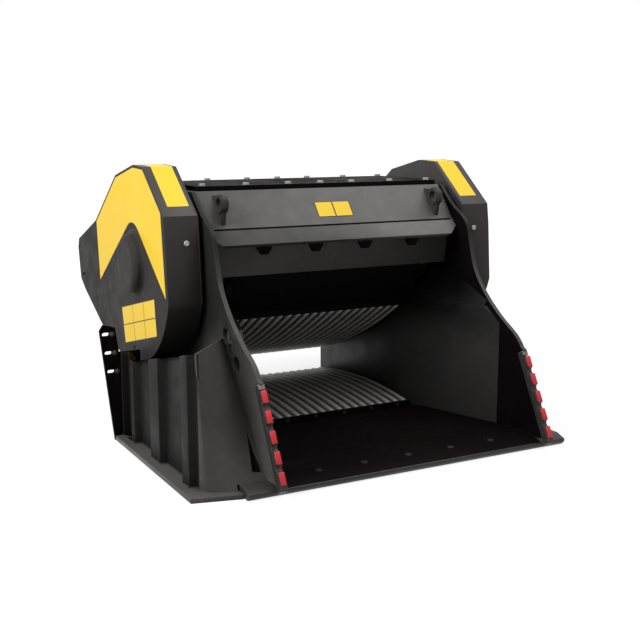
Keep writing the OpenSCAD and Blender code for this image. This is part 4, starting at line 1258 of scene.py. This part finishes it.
@dataclass
class Casings:
    """Belt casings with their domes, films, labels and screws."""

    dresser: Dresser
    film: Film = field(default_factory=Film)
    front_share: float = 0.85
    roof_share: float = 0.35
    roof_z: float = 0.9
    dome_cove: float = 0.022
    cove_share: float = 0.9
    dome_round: float = 0.03
    dome_steps: int = 6
    dome_smooth: float = 40.0
    strip: Pair = (0.660, 0.750)
    strip_ends: Pair = (-0.247, 0.045)
    label: tuple[Pair, ...] = ((0.235, 0.370), (-0.183, 0.471), (-0.160, 0.624), (0.272, 0.526))
    label_line: float = 0.0022
    face_screw: RoundHead = field(default_factory=lambda: RoundHead(0.011, 0.006))
    face_at: Pair = (0.697, 0.860)
    rim_screw: RoundHead = field(default_factory=lambda: RoundHead(0.008, 0.004))
    rim_places: tuple[Pair, ...] = ((0.120, 0.372), (0.880, 0.600))
    out: float = field(init=False)

    def __post_init__(self) -> None:
        """Measures how far out the casings' outer faces lie."""
        self.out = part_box("casing_right")[1].x

    def build(self) -> None:
        """Builds and dresses both casings."""
        for side in Side:
            casing = self.dresser.rounded(side.node("casing"))
            # Front and roof faces take their own copies of the casing's black: painted light and shade by
            # facing
            self.dresser.faces(casing, Finishes.FRONT, lambda face: face.normal.y < -self.front_share)
            self.dresser.faces(casing, Finishes.ROOF, lambda face: face.normal.z > self.roof_share)
            self.dome(side)
            self.band(side)
            self.roof_strip(side)
            self.plate(side)
        self.screws()

    def plate(self, side: Side) -> None:
        """Lays the plain yellow plate with its six bare fields on the outer face.

        Args:
            side: The side.
        """
        corners = [(side.value * (self.out + self.film.thickness), y, z) for y, z in self.label]
        if side is Side.RIGHT:
            corners = [corners[1], corners[0], corners[3], corners[2]]
        self.dresser.label(side.node("casing_label"), corners, (3, 2), self.label_line)

    def screws(self) -> None:
        """Sets the bright screw in each front face and the black ones round the outer faces."""
        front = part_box("casing_bolts")[0].y + self.face_screw.height
        x, z = self.face_at
        places = [(side.value * x, front, z) for side in Side]
        row = self.face_screw.row("casing_front_screws", places, (0, -1, 0))
        self.dresser.piece(row, Finishes.SCREW, "casing_bolts")
        for side in Side:
            places = [(side.value * self.out, y, z) for y, z in self.rim_places]
            row = self.rim_screw.row(side.node("casing_rim_screws"), places, (side.value, 0, 0))
            self.dresser.piece(row, Finishes.CASING)

    def dome(self, side: Side) -> None:
        """Models the dished dome over a shaft's end, with a cove at its foot.

        Args:
            side: The side.
        """
        low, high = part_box(side.node("hub_dome"))
        middle = (low + high) / 2
        radius = (high.y - low.y) / 2
        foot = low.x if side is Side.RIGHT else high.x
        bpy.ops.mesh.primitive_circle_add(
            vertices=96, radius=radius, fill_type="NGON", location=(foot, middle.y, middle.z),
            rotation=(0, side.value * math.pi / 2, 0),
        )
        dome = Bench.keep(side.node("dished_dome"))
        reached = (radius, 0.0)
        with Bench.edit(dome):
            for step in self.dome_profile(radius, high.x - low.x):
                top = max(abs(v.co.x) for v in bmesh.from_edit_mesh(dome.data).verts)
                Bench.pick(dome, lambda face: abs(abs(face.calc_center_median().x) - top) < SAME)
                rise = side.value * (step[1] - reached[1])
                bpy.ops.mesh.extrude_region_move(TRANSFORM_OT_translate={"value": (rise, 0, 0)})
                share = step[0] / reached[0]
                bpy.ops.transform.resize(
                    value=(1, share, share), center_override=(foot, middle.y, middle.z)
                )
                reached = step
        Bench.shade(dome, self.dome_smooth)
        self.dresser.piece(dome, Finishes.CASING, side.node("hub_dome"))

    def dome_profile(self, radius: float, height: float) -> list[Pair]:
        """Returns the dome's outline as (radius, height): a cove, a wall and a rounded shoulder.

        Args:
            radius: At its foot.
            height: At its middle.

        Returns:
            The points.
        """
        cove, shoulder = self.dome_cove, self.dome_round
        turns = [math.pi / 2 * (i + 1) / self.dome_steps for i in range(self.dome_steps)]
        reach = cove * self.cove_share
        points = [(radius - reach * math.sin(t), cove * (1 - math.cos(t)) + NEAR) for t in turns]
        wall = points[-1][0]
        points += [(wall - shoulder * (1 - math.cos(t)), cove + (height - cove) * math.sin(t)) for t in turns]
        return points + [(wall / 2, height)]

    def band(self, side: Side) -> None:
        """Cuts the yellow band from a copy of the casing's flat outer face.

        Args:
            side: The side.
        """
        film = self.film
        piece = Bench.copy(side.node("casing"), side.node("casing_band"))
        out = side.value * self.out
        Bench.crop(
            piece, lambda f: f.normal.x * side.value > FLAT and abs(f.calc_center_median().x - out) < NEAR
        )
        with Bench.edit(piece):
            bpy.ops.mesh.inset(thickness=film.margin, use_select_inset=True)
            bpy.ops.mesh.delete(type="FACE")
        for line in (film.front, film.back):
            Bench.cut(piece, *film.plane(line))
        walls = film.walls()
        for at, normal in walls:
            Bench.cut(piece, at, normal, clear=False)
        Bench.crop(piece, lambda f: not all(
            (f.calc_center_median() - Vector(at)).dot(Vector(normal)) > 0 for at, normal in walls
        ))
        with Bench.edit(piece):
            bpy.ops.mesh.dissolve_limited(angle_limit=math.radians(film.flat_deg))
        self.lift(piece)

    def roof_strip(self, side: Side) -> None:
        """Cuts the yellow strip from a copy of the casing's roof.

        Args:
            side: The side.
        """
        piece = Bench.copy(side.node("casing"), side.node("roof_strip"))
        Bench.crop(piece, lambda f: (
            f.normal.z > self.roof_share and abs(f.normal.x) < ALONG
            and f.calc_center_median().z > self.roof_z
        ))
        near, far = (side.value * x for x in self.strip)
        Bench.cut(piece, (near, 0, 0), (-side.value, 0, 0))
        Bench.cut(piece, (far, 0, 0), (side.value, 0, 0))
        Bench.cut(piece, (0, self.strip_ends[0], 0), (0, -1, 0))
        Bench.cut(piece, (0, self.strip_ends[1], 0), (0, 1, 0))
        self.lift(piece)

    def lift(self, piece: Piece) -> None:
        """Gives a yellow film its thickness, on both sides of the face that it lies on, and dresses it.

        Args:
            piece: The film, still flat.
        """
        Bench.modify(piece, "SOLIDIFY", thickness=2 * self.film.thickness, offset=0.0)
        Bench.shade(piece)
        self.dresser.piece(piece, Finishes.YELLOW)


@dataclass(frozen=True)
class JawCurve:
    """The arc that a jaw's crests follow in the side view, from its chord and its rise."""

    front: Pair
    back: Pair
    sag: float
    depth: float
    above: bool
    crest: float
    warmth: Pair = (0.975, 0.95)

    def finish(self, name: str) -> JawFinish:
        """Returns the jaw's finish, laid along this arc.

        Args:
            name: The finish's name.

        Returns:
            The finish.
        """
        front, back = Vector(self.front), Vector(self.back)
        chord = back - front
        radius = chord.length_squared / (8 * self.sag) + self.sag / 2
        square = Vector((-chord.y, chord.x)).normalized() * (1 if self.above else -1)
        axis = (front + back) / 2 + square * (radius - self.sag)
        bright = (self.crest, *(self.crest * share for share in self.warmth))
        return JawFinish(
            name, Slot.JAW, (0.05, 0.049, 0.048), 0.5, metal=0.2, specular=0.4, grain=0.0002,
            grain_scale=120.0, grain_stretch=(6.0, 0.6, 0.6), axis_at=(axis.x, axis.y), crest=radius,
            valley=radius - self.depth, crest_colour=bright,
        )


@dataclass
class Crusher:
    """The ribbed jaws, and the bolts of the motor and of the bearing housings."""

    dresser: Dresser
    # The moving jaw's crests are brighter than the fixed jaw's as painted light, since it faces down and gets
    # less light
    moving: JawCurve = JawCurve((-0.125, 0.491), (0.685, 0.143), 0.036, 0.013, True, 0.75)
    fixed: JawCurve = JawCurve((-0.199, 0.066), (0.643, 0.045), 0.034, 0.013, False, 0.42)
    rib_flat: float = 0.05
    rib_round: float = 0.0012
    screw: RoundHead = field(default_factory=lambda: RoundHead(0.009, 0.009))
    bolt: Fastener = field(default_factory=lambda: Fastener(0.009, 0.009))
    flange_t: float = 0.022
    motor_at: Pair = (0.807, 0.668)
    motor_ring: float = 0.087
    motor_n: int = 6
    shaft_at: Pair = (0.075, 0.745)
    housing_ring: float = 0.164
    housing_n: int = 8

    def build(self) -> None:
        """Dresses the jaws and sets the bolts."""
        self.jaw("moving_jaw", self.moving, Body.JAW)
        self.jaw("fixed_jaw", self.fixed, Body.FRAME)
        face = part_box("side_plate_left")[1].x + self.flange_t
        places = self.circle(face, self.motor_at, self.motor_ring, self.motor_n)
        self.dresser.piece(self.screw.row("motor_flange_screws", places, (1, 0, 0)), Finishes.BOLT)
        for side in Side:
            face = side.value * (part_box("side_plate_right")[0].x - self.flange_t)
            places = self.circle(face, self.shaft_at, self.housing_ring, self.housing_n)
            row = self.bolt.row(side.node("housing_bolts"), places, (-side.value, 0, 0))
            self.dresser.piece(row, Finishes.BOLT)

    def jaw(self, node: str, curve: JawCurve, body: Body) -> None:
        """Dresses a ribbed jaw with a finish that follows its curve.

        Args:
            node: The CAD node's name.
            curve: The arc of its crests.
            body: The body it rides on.
        """
        piece = Bench.copy(node, f"{node}_ribs", self.rib_flat)
        Bench.round(piece, self.rib_round, 1)
        self.dresser.piece(piece, curve.finish(f"{node}_steel"), node, body=body)

    @staticmethod
    def circle(x: float, at: Pair, radius: float, count: int) -> list[Point]:
        """Returns places evenly round a circle square to X."""
        turns = (math.tau * (i + 0.5) / count for i in range(count))
        return [(x, at[0] + radius * math.cos(t), at[1] + radius * math.sin(t)) for t in turns]


@dataclass
class Studio:
    """Floor, surroundings, lamps and camera."""

    lens: float = 58.44
    sensor: float = 36.0
    place: Point = (-2.17, -4.145, 1.31)
    turn_deg: Point = (79.49, 0.0, -28.34)
    floor_r: float = 60.0
    floor_tone: Colour = (0.3, 0.3, 0.3)
    floor_glow: Pair = (0.8, 1.0)
    glow_reach: Pair = (1.6, 5.0)
    world_level: float = 0.3
    lamps: tuple[tuple[str, Point, float], ...] = (
        ("key", (-5.0, -0.6, 4.2), 300.0), ("top", (1.8, -1.2, 5.5), 150.0)
    )
    lamp_size: float = 3.5
    lamp_aim: Point = (0.0, 0.0, 0.5)

    def build(self) -> None:
        """Builds the studio."""
        bpy.context.scene.view_settings.view_transform = "Standard"
        self.camera()
        self.floor()
        self.world()
        for name, place, power in self.lamps:
            self.lamp(name, place, power)

    def camera(self) -> None:
        """Sets the camera that matches the photograph."""
        bpy.ops.object.camera_add(
            location=self.place, rotation=tuple(math.radians(a) for a in self.turn_deg)
        )
        camera = bpy.context.active_object
        camera.name = "camera"
        camera.data.lens = self.lens
        camera.data.sensor_width = self.sensor
        bpy.context.scene.camera = camera

    def floor(self) -> None:
        """Lays a pale floor that reads as white, more so further out, and keeps the shadow."""
        bpy.ops.mesh.primitive_circle_add(vertices=96, radius=self.floor_r, fill_type="NGON")
        floor = Bench.keep("floor")
        material = bpy.data.materials.new("pale_floor")
        graph = Graph(material)
        shader = graph.tree.nodes["Principled BSDF"]
        for name, value in (
            ("Base Color", (*self.floor_tone, 1.0)), ("Roughness", 0.9), ("Specular IOR Level", 0.0)
        ):
            shader.inputs[name].default_value = value
        level = graph.span(graph.vector("LENGTH", graph.place, result=1), *self.glow_reach, *self.floor_glow)
        strength = graph.sum("MULTIPLY", graph.seen(), level)
        glow = graph.add("ShaderNodeEmission", {"Color": (1, 1, 1, 1), "Strength": strength})
        both_lights = graph.add("ShaderNodeAddShader", {0: shader.outputs[0], 1: glow.outputs[0]})
        graph.feed(graph.tree.nodes["Material Output"].inputs["Surface"], both_lights.outputs[0])
        floor.data.materials.append(material)

    def world(self) -> None:
        """Makes the surroundings white where they are seen, and a soft light elsewhere."""
        world = bpy.data.worlds.new("studio")
        bpy.context.scene.world = world
        graph = Graph(world)
        background = graph.tree.nodes["Background"].inputs
        background["Color"].default_value = (1, 1, 1, 1)
        graph.feed(background["Strength"], graph.span(graph.seen(), 0.0, 1.0, self.world_level, 1.0))

    def lamp(self, name: str, place: Point, power: float) -> None:
        """Adds a soft lamp that faces the bucket.

        Args:
            name: Its name.
            place: Where it hangs.
            power: Its watts.
        """
        bpy.ops.object.light_add(type="AREA", location=place)
        lamp = bpy.context.active_object
        lamp.name = name
        lamp.data.size = self.lamp_size
        lamp.data.energy = power
        lamp.rotation_euler = (Vector(self.lamp_aim) - Vector(place)).to_track_quat("-Z", "Y").to_euler()


def main() -> None:
    """Builds the studio and every assembly, and dresses the nodes that are left."""
    logging.basicConfig(level=logging.INFO, format="%(message)s")
    Studio().build()
    dresser = Dresser()
    for assembly in (Mouth, Flanks, Beam, Casings, Crusher):
        assembly(dresser).build()
    for name in ROUNDED:
        if name not in dresser.done:
            dresser.rounded(name)
    for finish, names in REST.items():
        for name in names:
            dresser.node(name, finish)
    log.info("nodes left bare: %s", sorted(set(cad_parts) - dresser.done))


if __name__ == "__main__":
    main()
